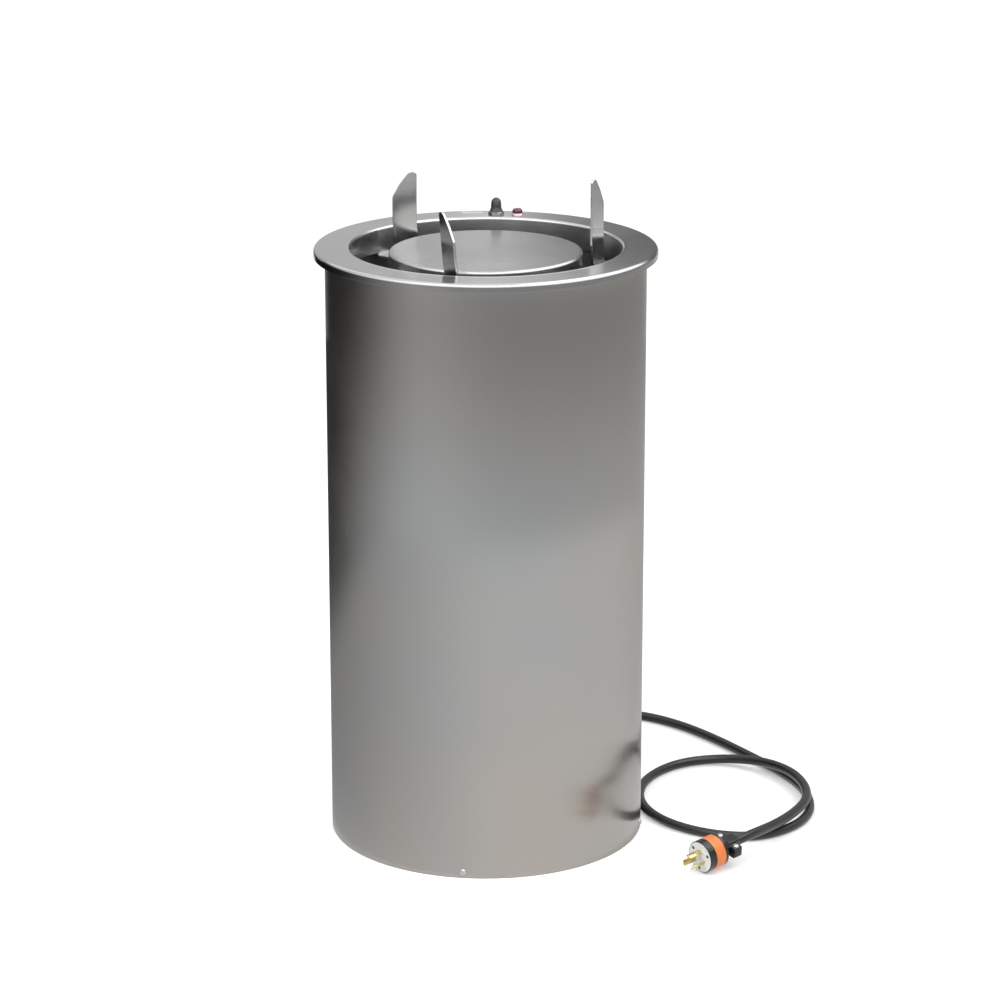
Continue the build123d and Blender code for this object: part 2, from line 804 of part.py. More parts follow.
def cord_gland():
    """The gland: a barrel through the drum, a hexagon outside and a lock nut inside."""
    hexagon = extrude(RegularPolygon(gland_hex / 2, 6, major_radius=False), gland_hex_length)
    barrel = column(gland_barrel_radius, -hole_depth, gland_hex_length)
    cap = Cone(gland_hex / 2 - 0.6, gland_cap_radius, gland_cap_length, align=standing)
    cap = Pos(0, 0, gland_hex_length) * cap
    return gland_place() * (hexagon + barrel + cap)


def gland_nut():
    """The lock nut on the gland's barrel, inside the drum."""
    body = extrude(RegularPolygon(gland_hex / 2, 6, major_radius=False), gland_nut_length)
    body -= column(gland_barrel_radius + weld_gap, 0, gland_nut_length)
    return gland_place() * Pos(0, 0, -shell_wall - gland_nut_length - 0.7) * body


def strain_relief():
    """The rubber sleeve that tapers from the gland to the cord."""
    low = gland_hex_length + gland_cap_length
    high = gland_reach - shell_radius
    corners = [(0, low), (sleeve_wide, low), (sleeve_narrow, high), (0, high)]
    body = turned(corners)
    for k in range(sleeve_grooves):
        z = low + 4 * (k + 1)
        body -= ring(sleeve_wide + 1, sleeve_narrow - 0.2, z, z + sleeve_groove)
    return gland_place() * body


def plug_place():
    """The frame of the plug: its origin on the face's centre, its Z axis along the plug to the cord."""
    azimuth, tilt = radians(plug_azimuth), radians(plug_tilt)
    back = Vector(cos(azimuth) * cos(tilt), sin(azimuth) * cos(tilt), sin(tilt))
    right = Vector(sin(azimuth), -cos(azimuth), 0)
    up = right.cross(back)
    roll = radians(plug_roll)
    across = right * cos(roll) - up * sin(roll)
    centre = Vector(plug_face_x, plug_face_y, plug_radius * cos(tilt))
    return Plane(origin=centre, x_dir=across, z_dir=back)


def plug_blades():
    """Three curved brass blades, one with a hooked end, on one circle."""
    outer, inner = blade_circle + blade_thickness / 2, blade_circle - blade_thickness / 2
    blades = []
    for k, azimuth in enumerate((30, 150, 270)):
        blade = sector(outer, inner, -blade_length, blade_seat, azimuth, blade_arc / 2)
        notch = sector(outer + 1, inner - 1, -8, -3, azimuth + 20, 12)
        blade -= notch
        if k == 2:
            blade += sector(outer, inner - 3, -blade_length, -blade_length + 5, azimuth, 9)
        blades.append(blade)
    return blades


def plug_face(blades):
    """The nylon face that the blades stand in."""
    outer = plug_radius - face_inset
    corners = [(0, -face_proud), (outer, -face_proud), (outer, face_depth), (0, face_depth)]
    body = turned(corners, [((outer, -face_proud), 0.6)])
    for blade in blades:
        body -= blade
    return body


def plug_shell():
    """The black body: a cup round the face, a seat for the band, and a cone down to the clamp."""
    inner = plug_radius - face_inset
    seat = plug_radius - band_wall
    corners = [(0, face_depth), (inner, face_depth), (inner, 0), (plug_radius, 0), (plug_radius, band_start),
               (seat, band_start), (seat, band_end), (plug_radius, band_end), (plug_radius, plug_shoulder),
               (neck_radius, plug_neck), (tail_radius, clamp_start), (0, clamp_start)]
    return turned(corners, [((plug_radius, plug_shoulder), 2.0)])


def plug_clamp():
    """The two jaws that grip the cord behind the plug, with ears for their screws."""
    depth = clamp_end - clamp_start
    jaw = Pos(0, 0, clamp_start) * Box(2 * clamp_half_width, clamp_half_height - 0.3, depth,
                                       align=(Align.CENTER, Align.MIN, Align.MIN))
    jaw = chamfer(jaw.edges().filter_by(Axis.Y), clamp_round)
    upper = Pos(0, 0.3, 0) * jaw
    lower = upper.mirror(Plane.XZ)
    holes = [Pos(side * screw_reach(), 0, (clamp_start + clamp_end) / 2) * Rot(90, 0, 0) *
             Cylinder(screw_shank_radius + screw_clearance, 4 * clamp_half_height) for side in (-1, 1)]
    return upper - holes, lower - holes


def screw_reach():
    """How far a clamp screw stands from the cord's axis."""
    return clamp_half_width - clamp_screw_inset


def plug_screws():
    """The screws that draw the jaws together, heads on the upper jaw."""
    middle = (clamp_start + clamp_end) / 2
    screws = []
    for side in (-1, 1):
        place = Pos(side * screw_reach(), clamp_half_height, middle) * Rot(-90, 0, 0)
        head = Cylinder(screw_head_radius, screw_head_height, align=standing)
        head = chamfer(head.edges().group_by(Axis.Z)[-1], screw_head_bevel)
        shank = Cylinder(screw_shank_radius, 2 * clamp_half_height, align=hanging)
        screws.append(place * (head + shank))
    return screws


def power_cord(place):
    """The cord from the gland to the plug: straight runs joined by arcs as large as the runs allow."""
    exit_point = polar(gland_reach, gland_azimuth, gland_height)
    after_exit = polar(gland_reach + 26, gland_azimuth, gland_height)
    clamp_face = place.from_local_coords(Vector(0, 0, clamp_end))
    before_clamp = place.from_local_coords(Vector(0, 0, clamp_end + 26))
    floor_run = cord_radius
    over = 3.2 * cord_radius + 0.6
    route = [exit_point, after_exit, (57, 299, 23), (95, 348, 9), (152, 372, floor_run),
             (208, 360, floor_run), (257, 322, floor_run), (300, 268, floor_run), (339, 208, floor_run),
             (372, 156, floor_run),
             (395, 108, floor_run), (405, 57, floor_run), (401, 4, floor_run), (376, -42, floor_run),
             (330, -73, floor_run), (276, -66, floor_run), (226, -32, floor_run), (196, 20, floor_run),
             (190, 78, floor_run), (207, 136, floor_run), (247, 182, floor_run), (300, 195, 7),
             (350, 170, 13.5), (384, 123, over - 0.6), (400, 71, over), (399, 19, over),
             (379, -27, over + 0.4), (352, -70, over + 2), before_clamp, clamp_face]
    points = [Vector(*point) for point in route]
    radii = []
    for before, here, after in zip(points, points[1:], points[2:]):
        into, out = here - before, after - here
        turn = acos(into.normalized().dot(out.normalized()))
        radii.append(0.45 * min(into.length, out.length) / tan(turn / 2))
    print("cord bend radii", [round(radius) for radius in radii])
    path = FilletPolyline(*points, radius=radii)
    start = Plane(origin=points[0], z_dir=points[1] - points[0])
    section = start * RegularPolygon(cord_radius, tube_sides)
    body = sweep(section, path=path)
    print("cord length", round(path.length), "volume over section times length",
          round(body.volume / (section.area * path.length), 4))
    return body


save("top_flange", top_flange())
save("outer_shell", outer_shell())
save("inner_liner", ring(liner_radius + liner_wall, liner_radius, floor_height, flange_under))
save("bottom_pan", bottom_pan())
save("bottom_screws", *bottom_screws())
save("well_floor", well_floor())
save("support_posts", *support_posts())
save("insulation_blanket", insulation_blanket())
save("heater_element", heater_element())
save("element_clips", *element_clips())
save("element_guard", element_guard())
save("bumpers", *bumpers())
save("carrier_disc", carrier_disc())
save("carrier_column", carrier_column())
save("carrier_spider", carrier_spider())
save("carrier_bolts", *carrier_bolts())
save("carrier_bushes", *carrier_bushes())
save("slide_rods", *slide_rods())
save("rod_sockets", *rod_sockets())
save("spring_hangers", *spring_hangers())
spring = lift_spring()
for number, azimuth in enumerate(group_azimuths, 1):
    save(f"lift_springs_{number}", *[Pos(place.X, place.Y, 0) * spring for place in spring_places(azimuth)])
for number, azimuth in enumerate(guide_azimuths, 1):
    save(f"guide_blade_{number}", guide_frame(azimuth) * guide_blade())
    save(f"guide_rod_{number}", guide_frame(azimuth) * guide_rod())
save("guide_brackets", *guide_brackets())
save("guide_sockets", *guide_sockets())
save("switch_body", switch_body())
save("boot_nut", boot_nut())
save("toggle_boot", toggle_boot())
bezel, lamp_body, lens = pilot_light()
save("pilot_bezel", bezel)
save("pilot_body", lamp_body)
save("pilot_lens", lens)
save("terminal_block", terminal_block())
save("thermostat", thermostat())
save("high_limit", high_limit())
save("wiring_harness", *wiring_harness())
save("cord_gland", cord_gland())
save("gland_nut", gland_nut())
save("strain_relief", strain_relief())
place = plug_place()
blades = plug_blades()
save("plug_blades", *[place * blade for blade in blades])
save("plug_face", place * plug_face(blades))
save("plug_shell", place * plug_shell())
save("plug_band", place * ring(plug_radius, plug_radius - band_wall, band_start, band_end))
upper_jaw, lower_jaw = plug_clamp()
save("plug_clamp", place * upper_jaw, place * lower_jaw)
save("plug_screws", *[place * screw for screw in plug_screws()])
save("power_cord", power_cord(place))
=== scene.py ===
import json
import bmesh
import bpy
import numpy as np
from math import cos, radians, sin, sqrt
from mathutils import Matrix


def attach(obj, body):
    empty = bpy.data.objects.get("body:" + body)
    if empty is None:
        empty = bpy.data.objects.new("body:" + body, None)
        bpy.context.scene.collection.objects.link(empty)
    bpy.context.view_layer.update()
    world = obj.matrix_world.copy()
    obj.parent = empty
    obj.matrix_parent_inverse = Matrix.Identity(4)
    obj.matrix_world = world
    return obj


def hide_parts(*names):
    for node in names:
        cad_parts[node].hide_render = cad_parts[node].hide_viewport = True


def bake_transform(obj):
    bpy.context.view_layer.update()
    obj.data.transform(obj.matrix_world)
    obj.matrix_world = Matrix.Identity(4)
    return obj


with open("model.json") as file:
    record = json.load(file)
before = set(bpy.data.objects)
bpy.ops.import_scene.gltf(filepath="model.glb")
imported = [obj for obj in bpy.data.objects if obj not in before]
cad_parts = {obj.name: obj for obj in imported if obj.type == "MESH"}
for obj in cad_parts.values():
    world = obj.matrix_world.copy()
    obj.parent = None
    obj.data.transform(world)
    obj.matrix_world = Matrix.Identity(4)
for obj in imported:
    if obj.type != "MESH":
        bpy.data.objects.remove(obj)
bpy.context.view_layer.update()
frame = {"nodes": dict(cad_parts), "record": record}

from types import SimpleNamespace
from mathutils import Vector

# A heated plate dispenser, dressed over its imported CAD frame.
# Metres in the frame's own axes: +Z up, -Y the front. Settings are in millimetres and degrees, but places in a
# material, the camera's place and the studio are in metres.
nodes = frame["nodes"]
nodeSlot = {row["node"]: row["material_slot"] for row in frame["record"]["subparts"]}
mm = 0.001
scene = bpy.context.scene
print("frame loaded:", len(nodes), "nodes")


def named(settings):
    # a dictionary's values by their names
    return SimpleNamespace(**settings)


# Nodes and colours

def linear(hexCode):
    # sRGB hex to linear
    parts = np.array([int(hexCode[k:k + 2], 16) for k in (1, 3, 5)]) / 255
    return (*np.where(parts <= 0.04045, parts / 12.92, ((parts + 0.055) / 1.055) ** 2.4), 1.0)


def addNode(tree, kind, inputs=None, stops=(), feeds=None, **settings):
    # one node: inputs holds values or the sockets that feed it, stops a ramp's places and colours, and feeds is
    # the socket that its first output goes to
    node = tree.nodes.new("ShaderNode" + kind)
    for key, value in settings.items():
        setattr(node, key, value)
    for socket, value in (inputs or {}).items():
        if isinstance(value, bpy.types.NodeSocket):
            tree.links.new(value, node.inputs[socket])
        else:
            node.inputs[socket].default_value = value
    for k, (place, colour) in enumerate(stops):
        element = node.color_ramp.elements[k] if k < 2 else node.color_ramp.elements.new(place)
        element.position = place
        element.color = linear(colour)
    if feeds:
        tree.links.new(node.outputs[0], feeds)
    return node


def emptyTree(owner):
    # the node tree of a material or a world, with nothing in it
    owner.use_nodes = True
    owner.node_tree.nodes.clear()
    return owner.node_tree


def startMaterial(name, numbers):
    # a principled surface with its plain numbers set; returns what the rest of the material is built on
    material = bpy.data.materials.new(name)
    tree = emptyTree(material)
    shader = addNode(tree, "BsdfPrincipled", numbers)
    addNode(tree, "OutputMaterial", {"Surface": shader.outputs[0]})
    return material, tree, shader, addNode(tree, "TexCoord").outputs["Object"]


# Sheet metal

sheetSettings = dict(tones=("#A7A8A8", "#AFAAA4"), roughness=(0.19, 0.24), anisotropic=1.0, waveLength=420,
                     waveDepth=1.6, grainLength=45, grainWidth=0.9, grainDepth=0.006, smudge=110)


def rolledSheet():
    # 2B stainless, cold rolled with its grain upright: reflections smear sideways and stay crisp up and down,
    # long shallow waves bend them, and handling leaves dull cloudy marks
    s = named(sheetSettings)
    material, tree, shader, place = startMaterial("rolledStainless2b", {
        "Metallic": 1.0, "Anisotropic": s.anisotropic})
    tint = addNode(tree, "TexNoise", {"Vector": place, "Scale": 3.0, "Detail": 2.0})
    addNode(tree, "ValToRGB", {"Fac": tint.outputs[0]}, [(0.35, s.tones[0]), (0.66, s.tones[1])],
            shader.inputs["Base Color"])
    smudge = addNode(tree, "TexNoise", {"Vector": place, "Scale": 1000 / s.smudge, "Detail": 6.0,
                                        "Roughness": 0.62})
    addNode(tree, "MapRange", {"Value": smudge.outputs[0], "From Min": 0.35, "From Max": 0.72,
                               "To Min": s.roughness[0], "To Max": s.roughness[1]},
            feeds=shader.inputs["Roughness"])
    waves = addNode(tree, "TexNoise", {"Vector": place, "Scale": 1000 / s.waveLength, "Detail": 1.0})
    bent = addNode(tree, "Bump", {"Height": waves.outputs[0], "Distance": s.waveDepth * mm})
    along = addNode(tree, "Mapping", {"Vector": place, "Scale": (1, 1, s.grainWidth / s.grainLength)})
    grain = addNode(tree, "TexNoise", {"Vector": along.outputs[0], "Scale": 1000 / s.grainWidth, "Detail": 2.0})
    addNode(tree, "Bump", {"Height": grain.outputs[0], "Distance": s.grainDepth * mm, "Normal": bent.outputs[0]},
            feeds=shader.inputs["Normal"])
    return material


def spunSheet(name, tones, roughness, anisotropic, ringDepth, inside=0, rough=0, lip=1, lipShade=1):
    # stainless spun on a lathe and polished in turns: fine rings about the axis, so highlights stretch across
    # them; inside the first radius it is rougher, and out past the second its colour is darkened, a painted shade
    # on the lip
    material, tree, shader, place = startMaterial(name, {
        "Metallic": 1.0, "Anisotropic": anisotropic, "Anisotropic Rotation": 0.25})
    flat = addNode(tree, "Mapping", {"Vector": place, "Scale": (1, 1, 0)})
    radius = addNode(tree, "VectorMath", {0: flat.outputs[0]}, operation="LENGTH")
    rings = addNode(tree, "TexNoise", {"W": radius.outputs["Value"], "Scale": 1000 / 0.8, "Detail": 3.0},
                    noise_dimensions="1D")
    cloud = addNode(tree, "TexNoise", {"Vector": place, "Scale": 9.0, "Detail": 4.0, "Roughness": 0.6})
    colour = addNode(tree, "ValToRGB", {"Fac": cloud.outputs[0]}, [(0.3, tones[0]), (0.7, tones[1])])
    # painted shade: out past the lip radius the base colour is scaled down, so the lip looks darker
    paintedLipShade = addNode(tree, "MapRange", {"Value": radius.outputs["Value"], "From Min": lip, "From Max": lip + 0.0015,
                                        "To Min": 1.0, "To Max": lipShade})
    addNode(tree, "VectorMath", {0: colour.outputs[0], "Scale": paintedLipShade.outputs[0]},
            feeds=shader.inputs["Base Color"], operation="SCALE")
    dull = addNode(tree, "MapRange", {"Value": cloud.outputs[0], "From Min": 0.3, "From Max": 0.7,
                                      "To Min": roughness[0], "To Max": roughness[1]})
    deeper = addNode(tree, "MapRange", {"Value": radius.outputs["Value"], "From Min": inside,
                                        "From Max": inside + 0.001, "To Min": rough, "To Max": 0.0})
    addNode(tree, "Math", {0: dull.outputs[0], 1: deeper.outputs[0]}, feeds=shader.inputs["Roughness"],
            operation="ADD")
    addNode(tree, "Bump", {"Height": rings.outputs[0], "Distance": ringDepth * mm}, feeds=shader.inputs["Normal"])
    return material


# Every other finish is two near colours in soft clouds, an uneven shine, and a skin with its own grain

def finish(name, tones, roughness, grain, depth, numbers, stretch=(1, 1, 1), cloud=35):
    # grain is the spacing of the skin's texture and depth its height, both in millimetres
    material, tree, shader, place = startMaterial(name, numbers)
    patches = addNode(tree, "TexNoise", {"Vector": place, "Scale": 1000 / cloud, "Detail": 4.0, "Roughness": 0.6})
    addNode(tree, "ValToRGB", {"Fac": patches.outputs[0]}, [(0.3, tones[0]), (0.7, tones[1])],
            shader.inputs["Base Color"])
    addNode(tree, "MapRange", {"Value": patches.outputs[0], "From Min": 0.3, "From Max": 0.7,
                               "To Min": roughness[0], "To Max": roughness[1]}, feeds=shader.inputs["Roughness"])
    along = addNode(tree, "Mapping", {"Vector": place, "Scale": stretch})
    skin = addNode(tree, "TexNoise", {"Vector": along.outputs[0], "Scale": 1000 / grain, "Detail": 3.0})
    addNode(tree, "Bump", {"Height": skin.outputs[0], "Distance": depth * mm}, feeds=shader.inputs["Normal"])
    return material


# the lens's colour by height, which holds painted highlights at its foot and at its top
lensPaintedHighlightSettings = dict(low=0.7263, high=0.7343, uneven=0.0006, tones=[
    (0.0, "#F6C9D6"), (1.0, "#7A2A4C"), (0.2, "#F6C9D6"), (0.34, "#5E0A2C"), (0.7, "#3E0620")])


def lensMoulding():
    # clear red polycarbonate, its colour set by height: a painted highlight, pale pink, at its foot, nearly black
    # above it, and a lighter red painted highlight at the very top
    s = named(lensPaintedHighlightSettings)
    material, tree, shader, place = startMaterial("redPolycarbonate", {
        "Roughness": 0.1, "IOR": 1.58, "Subsurface Weight": 0.15, "Subsurface Radius": (0.004, 0.0006, 0.0008)})
    height = addNode(tree, "SeparateXYZ", {"Vector": place})
    cloud = addNode(tree, "TexNoise", {"Vector": place, "Scale": 300.0, "Detail": 2.0})
    uneven = addNode(tree, "Math", {0: cloud.outputs[0], 1: s.uneven, 2: height.outputs[2]},
                     operation="MULTIPLY_ADD")
    share = addNode(tree, "MapRange", {"Value": uneven.outputs[0], "From Min": s.low, "From Max": s.high})
    # painted highlight: the ramp is pale pink low on the lens and lighter again at its top
    addNode(tree, "ValToRGB", {"Fac": share.outputs[0]}, s.tones, shader.inputs["Base Color"])
    return material


metal, nylon, rubber = {"Metallic": 1.0}, {"IOR": 1.53}, {"IOR": 1.52}
slotMaterial = {
    "satin_stainless": rolledSheet(),
    # the rim's lip gets a painted shade: its colour is scaled to 0.64 past 201.8 mm
    "brushed_stainless": spunSheet("spunStainlessRim", ("#B9B9BA", "#C1C0BF"), (0.17, 0.22), 0.6, 0.002,
                                   inside=0.1616, rough=0.06, lip=0.2018, lipShade=0.64),
    # hot-dipped sheet with a dull spangle
    "aluminised_sheet": finish("aluminisedSheet", ("#96979A", "#A6A7A9"), (0.34, 0.46), 2.5, 0.01, metal),
    # bright zinc plate over turned or pressed steel
    "zinc_plate": finish("brightZincPlate", ("#C4C6C8", "#D6D8DA"), (0.34, 0.44), 1.2, 0.006, metal),
    # centreless-ground bar, its feed marks running round it
    "ground_rod": finish("groundSteelBar", ("#B0B1B3", "#C0C1C3"), (0.1, 0.18), 0.7, 0.003, metal, (0.1, 0.1, 1)),
    # drawn wire with a dark oiled skin
    "spring_steel": finish("oiledSpringWire", ("#68696B", "#838486"), (0.26, 0.38), 1.0, 0.005, metal),
    # machined nylon, waxy
    "white_nylon": finish("machinedNylon", ("#D8D5CA", "#E3E0D6"), (0.38, 0.5), 0.8, 0.01, nylon),
    # moulded rubber gone slightly grey with age
    "black_rubber": finish("mouldedRubber", ("#232325", "#2E2E30"), (0.3, 0.44), 0.9, 0.01, rubber),
    # extruded rubber jacket, its skin faintly ribbed by the filler strands under it
    "cord_jacket": finish("extrudedRubberJacket", ("#19191B", "#242427"), (0.3, 0.42), 1.4, 0.05, rubber),
    "black_plastic": finish("mouldedNylonBlack", ("#19191A", "#232324"), (0.38, 0.5), 0.8, 0.015, nylon),
    "red_lens": lensMoulding(),
    # chromed brass, mirror bright
    "bezel_chrome": finish("chromedBrass", ("#C6C7CA", "#D2D3D5"), (0.06, 0.12), 1.5, 0.002, metal),
    "plug_black": finish("mouldedNylonPlug", ("#131314", "#1C1C1D"), (0.22, 0.34), 0.9, 0.01, nylon),
    "plug_white": finish("mouldedNylonFace", ("#E2E4E2", "#EEEFED"), (0.28, 0.4), 0.9, 0.01, nylon),
    # a bare printed vinyl band
    "plug_orange": finish("printedVinylBand", ("#EE7434", "#F48A48"), (0.36, 0.48), 1.1, 0.01, rubber),
    # brass strip, pressed and tumbled
    "plug_brass": finish("pressedBrass", ("#D3BC82", "#E6D5A0"), (0.16, 0.26), 0.9, 0.006, metal, cloud=6),
    "phenolic": finish("mouldedPhenolic", ("#241B14", "#30241B"), (0.38, 0.5), 0.7, 0.015, {"IOR": 1.6}),
    # matted glass fibre, yellow with its binder
    "glass_fibre": finish("glassFibreBlanket", ("#B5973F", "#E2CF8B"), (0.9, 1.0), 4.5, 1.4, {
        "IOR": 1.5, "Sheen Weight": 0.3}),
    # varnished glass sleeving over the leads
    "wire_sleeve": finish("braidedGlassSleeve", ("#B6B2A8", "#CCC8BE"), (0.66, 0.8), 1.1, 0.15, {"IOR": 1.5}),
    # sheath darkened by heat
    "element_sheath": finish("oxidisedSheath", ("#38332F", "#4C4641"), (0.46, 0.6), 1.6, 0.02, metal),
}
# the carrier's plate, sanded in turns to a satin
discMaterial = spunSheet("satinCarrierPlate", ("#A5A5A6", "#AEADAC"), (0.22, 0.3), 0.5, 0.002)
# laser-cut strip, linished along its length
guideMaterial = finish("linishedGuideStrip", ("#BDBDBD", "#C8C8C7"), (0.13, 0.19), 3.0, 0.003, metal, (1, 1, 0.03))
# nickel-plated hexagon of the switch's boot
nutMaterial = finish("nickelPlatedNut", ("#7E7E80", "#8E8E90"), (0.16, 0.26), 1.0, 0.002, metal)
for name, piece in nodes.items():
    piece.data.materials.clear()
    piece.data.materials.append(slotMaterial[nodeSlot[name]])
print("materials made:", len(bpy.data.materials))


# Surfaces. A grid is an array of points, rows by columns by 3; numpy works out the whole of it at once.

def gridFaces(rows, columns):
    # quads between each point of a grid and its neighbours
    first = (np.arange(rows - 1)[:, None] * columns + np.arange(columns - 1)[None, :]).ravel()
    return np.stack([first, first + 1, first + columns + 1, first + columns], axis=-1)


def addObject(name, data, material=None):
    # an object of its own for a mesh, curve, camera or lamp
    thing = bpy.data.objects.new(name, data)
    scene.collection.objects.link(thing)
    if material:
        data.materials.append(material)
    return thing


def makePiece(name, grids, slotName, replaced=(), body="cabinet", capped=False, blendAt=None, material=None,
              bent=None):
    # one mesh from its grids: doubles merged so that seams and poles close, faces turned outwards, edges
    # sharper than 40 degrees kept sharp; capped closes each grid's first and last row; bent gives heights to cut
    # the mesh at and how far a point then moves along x for its height
    mesh = bpy.data.meshes.new(name)
    points, faces, count = [], [], 0
    for grid in grids:
        rows, columns = grid.shape[:2]
        points.append(grid.reshape(-1, 3))
        faces += (gridFaces(rows, columns) + count).tolist()
        if capped:
            faces += [list(range(count, count + columns - 1)),
                      list(range(count + (rows - 1) * columns, count + rows * columns - 1))]
        count += rows * columns
    mesh.from_pydata(np.concatenate(points).tolist(), [], faces)
    work = bmesh.new()
    work.from_mesh(mesh)
    bmesh.ops.remove_doubles(work, verts=work.verts, dist=2e-6)
    bmesh.ops.dissolve_degenerate(work, edges=work.edges, dist=1e-7)
    bmesh.ops.delete(work, geom=[edge for edge in work.edges if not edge.link_faces], context="EDGES")
    for height in bent[0] if bent else ():
        bmesh.ops.bisect_plane(work, geom=work.verts[:] + work.edges[:] + work.faces[:], plane_co=(0, 0, height),
                               plane_no=(0, 0, 1))
    for point in work.verts if bent else ():
        point.co.x += bent[1](point.co.z)
    bmesh.ops.recalc_face_normals(work, faces=work.faces)
    for edge in work.edges:
        edge.smooth = edge.is_manifold and edge.calc_face_angle(0) < radians(40)
    for face in work.faces:
        face.smooth = True
    work.to_mesh(mesh)
    work.free()
    piece = addObject(name, mesh, material or slotMaterial[slotName])
    if blendAt:
        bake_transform(piece)
    else:
        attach(piece, body)
    if replaced:
        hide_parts(*replaced)
    return piece


def roundedLine(corners, steps=7):
    # straight runs through (x, y, radius) corners; a corner with a radius becomes an arc about the point on its
    # bisector, with one more point just beside each end so that the runs shade as flats; the line closes
    line = []
    for k, (x, y, radius) in enumerate(corners):
        here = np.array([x, y], float)
        if not radius:
            line.append(here[None])
            continue
        back, on = np.array(corners[k - 1][:2]) - here, np.array(corners[(k + 1) % len(corners)][:2]) - here
        back, on = back / np.hypot(*back), on / np.hypot(*on)
        half = np.arccos(np.clip(back @ on, -1, 1)) / 2
        centre = here + (back + on) / np.hypot(*(back + on)) * radius / np.sin(half)
        start, end = here + back * radius / np.tan(half), here + on * radius / np.tan(half)
        turn = np.pi - 2 * half
        part = np.linspace(0, turn, steps + 1)[:, None]
        arc = centre + ((start - centre) * np.sin(turn - part) + (end - centre) * np.sin(part)) / np.sin(turn)
        beside = min(0.1 * radius, 0.25)
        line += [(start + back * beside)[None], arc, (end + on * beside)[None]]
    line = np.concatenate(line)
    return np.concatenate([line, line[:1]])


def fullTurn(count):
    # the angles of a whole turn in so many steps
    return np.linspace(0, 2 * np.pi, count + 1)


def around(radius, angles, height):
    # points round the z axis: x = r cos a, y = r sin a, z = h
    return np.stack([radius * np.cos(angles), radius * np.sin(angles), height + 0 * (radius + angles)], axis=-1)


def turnedGrid(line, angles):
    # a line of (radius, height) turned about the z axis; a plain number is the count of steps in a full turn
    line = np.array(line, float)
    return around(line[:, :1], fullTurn(angles) if isinstance(angles, int) else angles, line[:, 1:])


def eased(value, low, high):
    # 0 below low and 1 above high, 3t^2 - 2t^3 between them
    t = np.clip((value - low) / (high - low), 0, 1)
    return t * t * (3 - 2 * t)


def placed(grid, origin, across, up, out):
    # a grid in millimetres in its own three axes, put where it goes in metres
    axes = np.array([tuple(Vector(axis).normalized()) for axis in (across, up, out)])
    return np.array(tuple(origin)) + (grid * mm) @ axes


def upright(grid, x, y, z=0.0):
    # a grid in millimetres that stands upright at a point, put in metres
    return grid * mm + np.array([x, y, z]) * mm


def polar(radius, azimuth, z=0.0):
    # a point from its distance to the axis and its azimuth, in metres
    a = radians(azimuth)
    return Vector((radius * cos(a), radius * sin(a), z)) * mm


def outwardAxes(azimuth):
    # down, round and outwards at an azimuth of the drum
    out = polar(1000, azimuth)
    return Vector((0, 0, -1)), Vector((-out.y, out.x, 0)), out


# The cord, with its plug's place

plugSettings = dict(centre=(255.1, -171.9), azimuth=39, tilt=6, roll=10, radius=20, ring=10, band=24.5,
                    bandWall=0.6, faceInset=1.2, shoulder=28, neck=33, neckRadius=13.5, clamp=38.5, clampEnd=56,
                    tailRadius=12, ear=19, earTop=5.6, earLength=12, lowerMore=2.4, humpFoot=9.5, humpCrest=7.4,
                    humpHeight=8.6, humpReach=9.15, bladeCircle=8.7, bladeThick=1.6, bladeLength=20, bladeSeat=5,
                    bladeArc=50, wellCircle=14.4,
                    face=[(17.0, -0.6, 0.3), (16.4, -0.2, 0.3), (12.2, -0.2, 0.3), (11.6, -0.7, 0.3), (0, -0.7, 0)])
cordSettings = dict(radius=5.8, exitReach=230, exitRun=26, exitAzimuth=80, exitHeight=36, crossing=19.16,
                    length=1.588)


def plugAxes():
    # across, down and back along the plug: a heading, a tilt up towards the cord, and a roll
    s = named(plugSettings)
    azimuth, tilt, roll = (radians(turn) for turn in (s.azimuth, s.tilt, s.roll))
    back = Vector((cos(azimuth) * cos(tilt), sin(azimuth) * cos(tilt), sin(tilt)))
    right = Vector((sin(azimuth), -cos(azimuth), 0))
    across = right * cos(roll) - right.cross(back) * sin(roll)
    centre = Vector((*s.centre, s.radius * cos(tilt))) * mm
    return centre, across, back.cross(across), back


plugCentre, plugAcross, plugDown, plugBack = plugAxes()


def makeCord():
    # one open spline with the route's own points, round in section
    s = named(cordSettings)
    low, over = s.radius, s.crossing
    hand = [(57, 299, 23), (95, 348, 9), (152, 372, low), (208, 360, low), (257, 322, low), (300, 268, low),
            (339, 208, low), (372, 156, low), (395, 108, low), (405, 57, low), (401, 4, low), (376, -42, low),
            (330, -73, low), (276, -66, low), (226, -32, low), (196, 20, low), (190, 78, low), (207, 136, low),
            (247, 182, low), (300, 195, 7), (350, 170, 13.5), (384, 123, over - 0.6), (400, 71, over),
            (399, 19, over), (379, -27, over + 0.4), (352, -70, over + 2)]
    route = [polar(s.exitReach, s.exitAzimuth, s.exitHeight),
             polar(s.exitReach + s.exitRun, s.exitAzimuth, s.exitHeight)]
    route += [Vector(point) * mm for point in hand]
    route += [plugCentre + plugBack * (plugSettings["clampEnd"] + reach) * mm for reach in (26, 0)]
    curve = bpy.data.curves.new("powerCord", "CURVE")
    curve.dimensions = "3D"
    curve.bevel_depth = low * mm
    curve.bevel_resolution = 5
    curve.resolution_u = 12
    curve.use_fill_caps = True
    spline = curve.splines.new("NURBS")
    spline.points.add(len(route) - 1)
    for point, place in zip(spline.points, route):
        point.co = (*place, 1.0)
    spline.order_u = 3
    spline.use_endpoint_u = True
    cord = addObject("powerCord", curve, slotMaterial["cord_jacket"])
    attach(cord, "cabinet")
    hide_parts("power_cord")
    return cord, route[0]


cord, cordExit = makeCord()
print("cord made")


# The drum: one rolled sheet, its lap at the back, a row of spot welds down the lap

drumSettings = dict(radius=190.5, wall=1.0, height=724.5, lapAzimuth=112, lapWidth=14, lapHeight=0.8, lapSlope=0.5,
                    edgeRound=0.3, columns=240, rows=14, weldPitch=58, weldRadius=2.6, weldRing=0.12, weldDish=0.1)


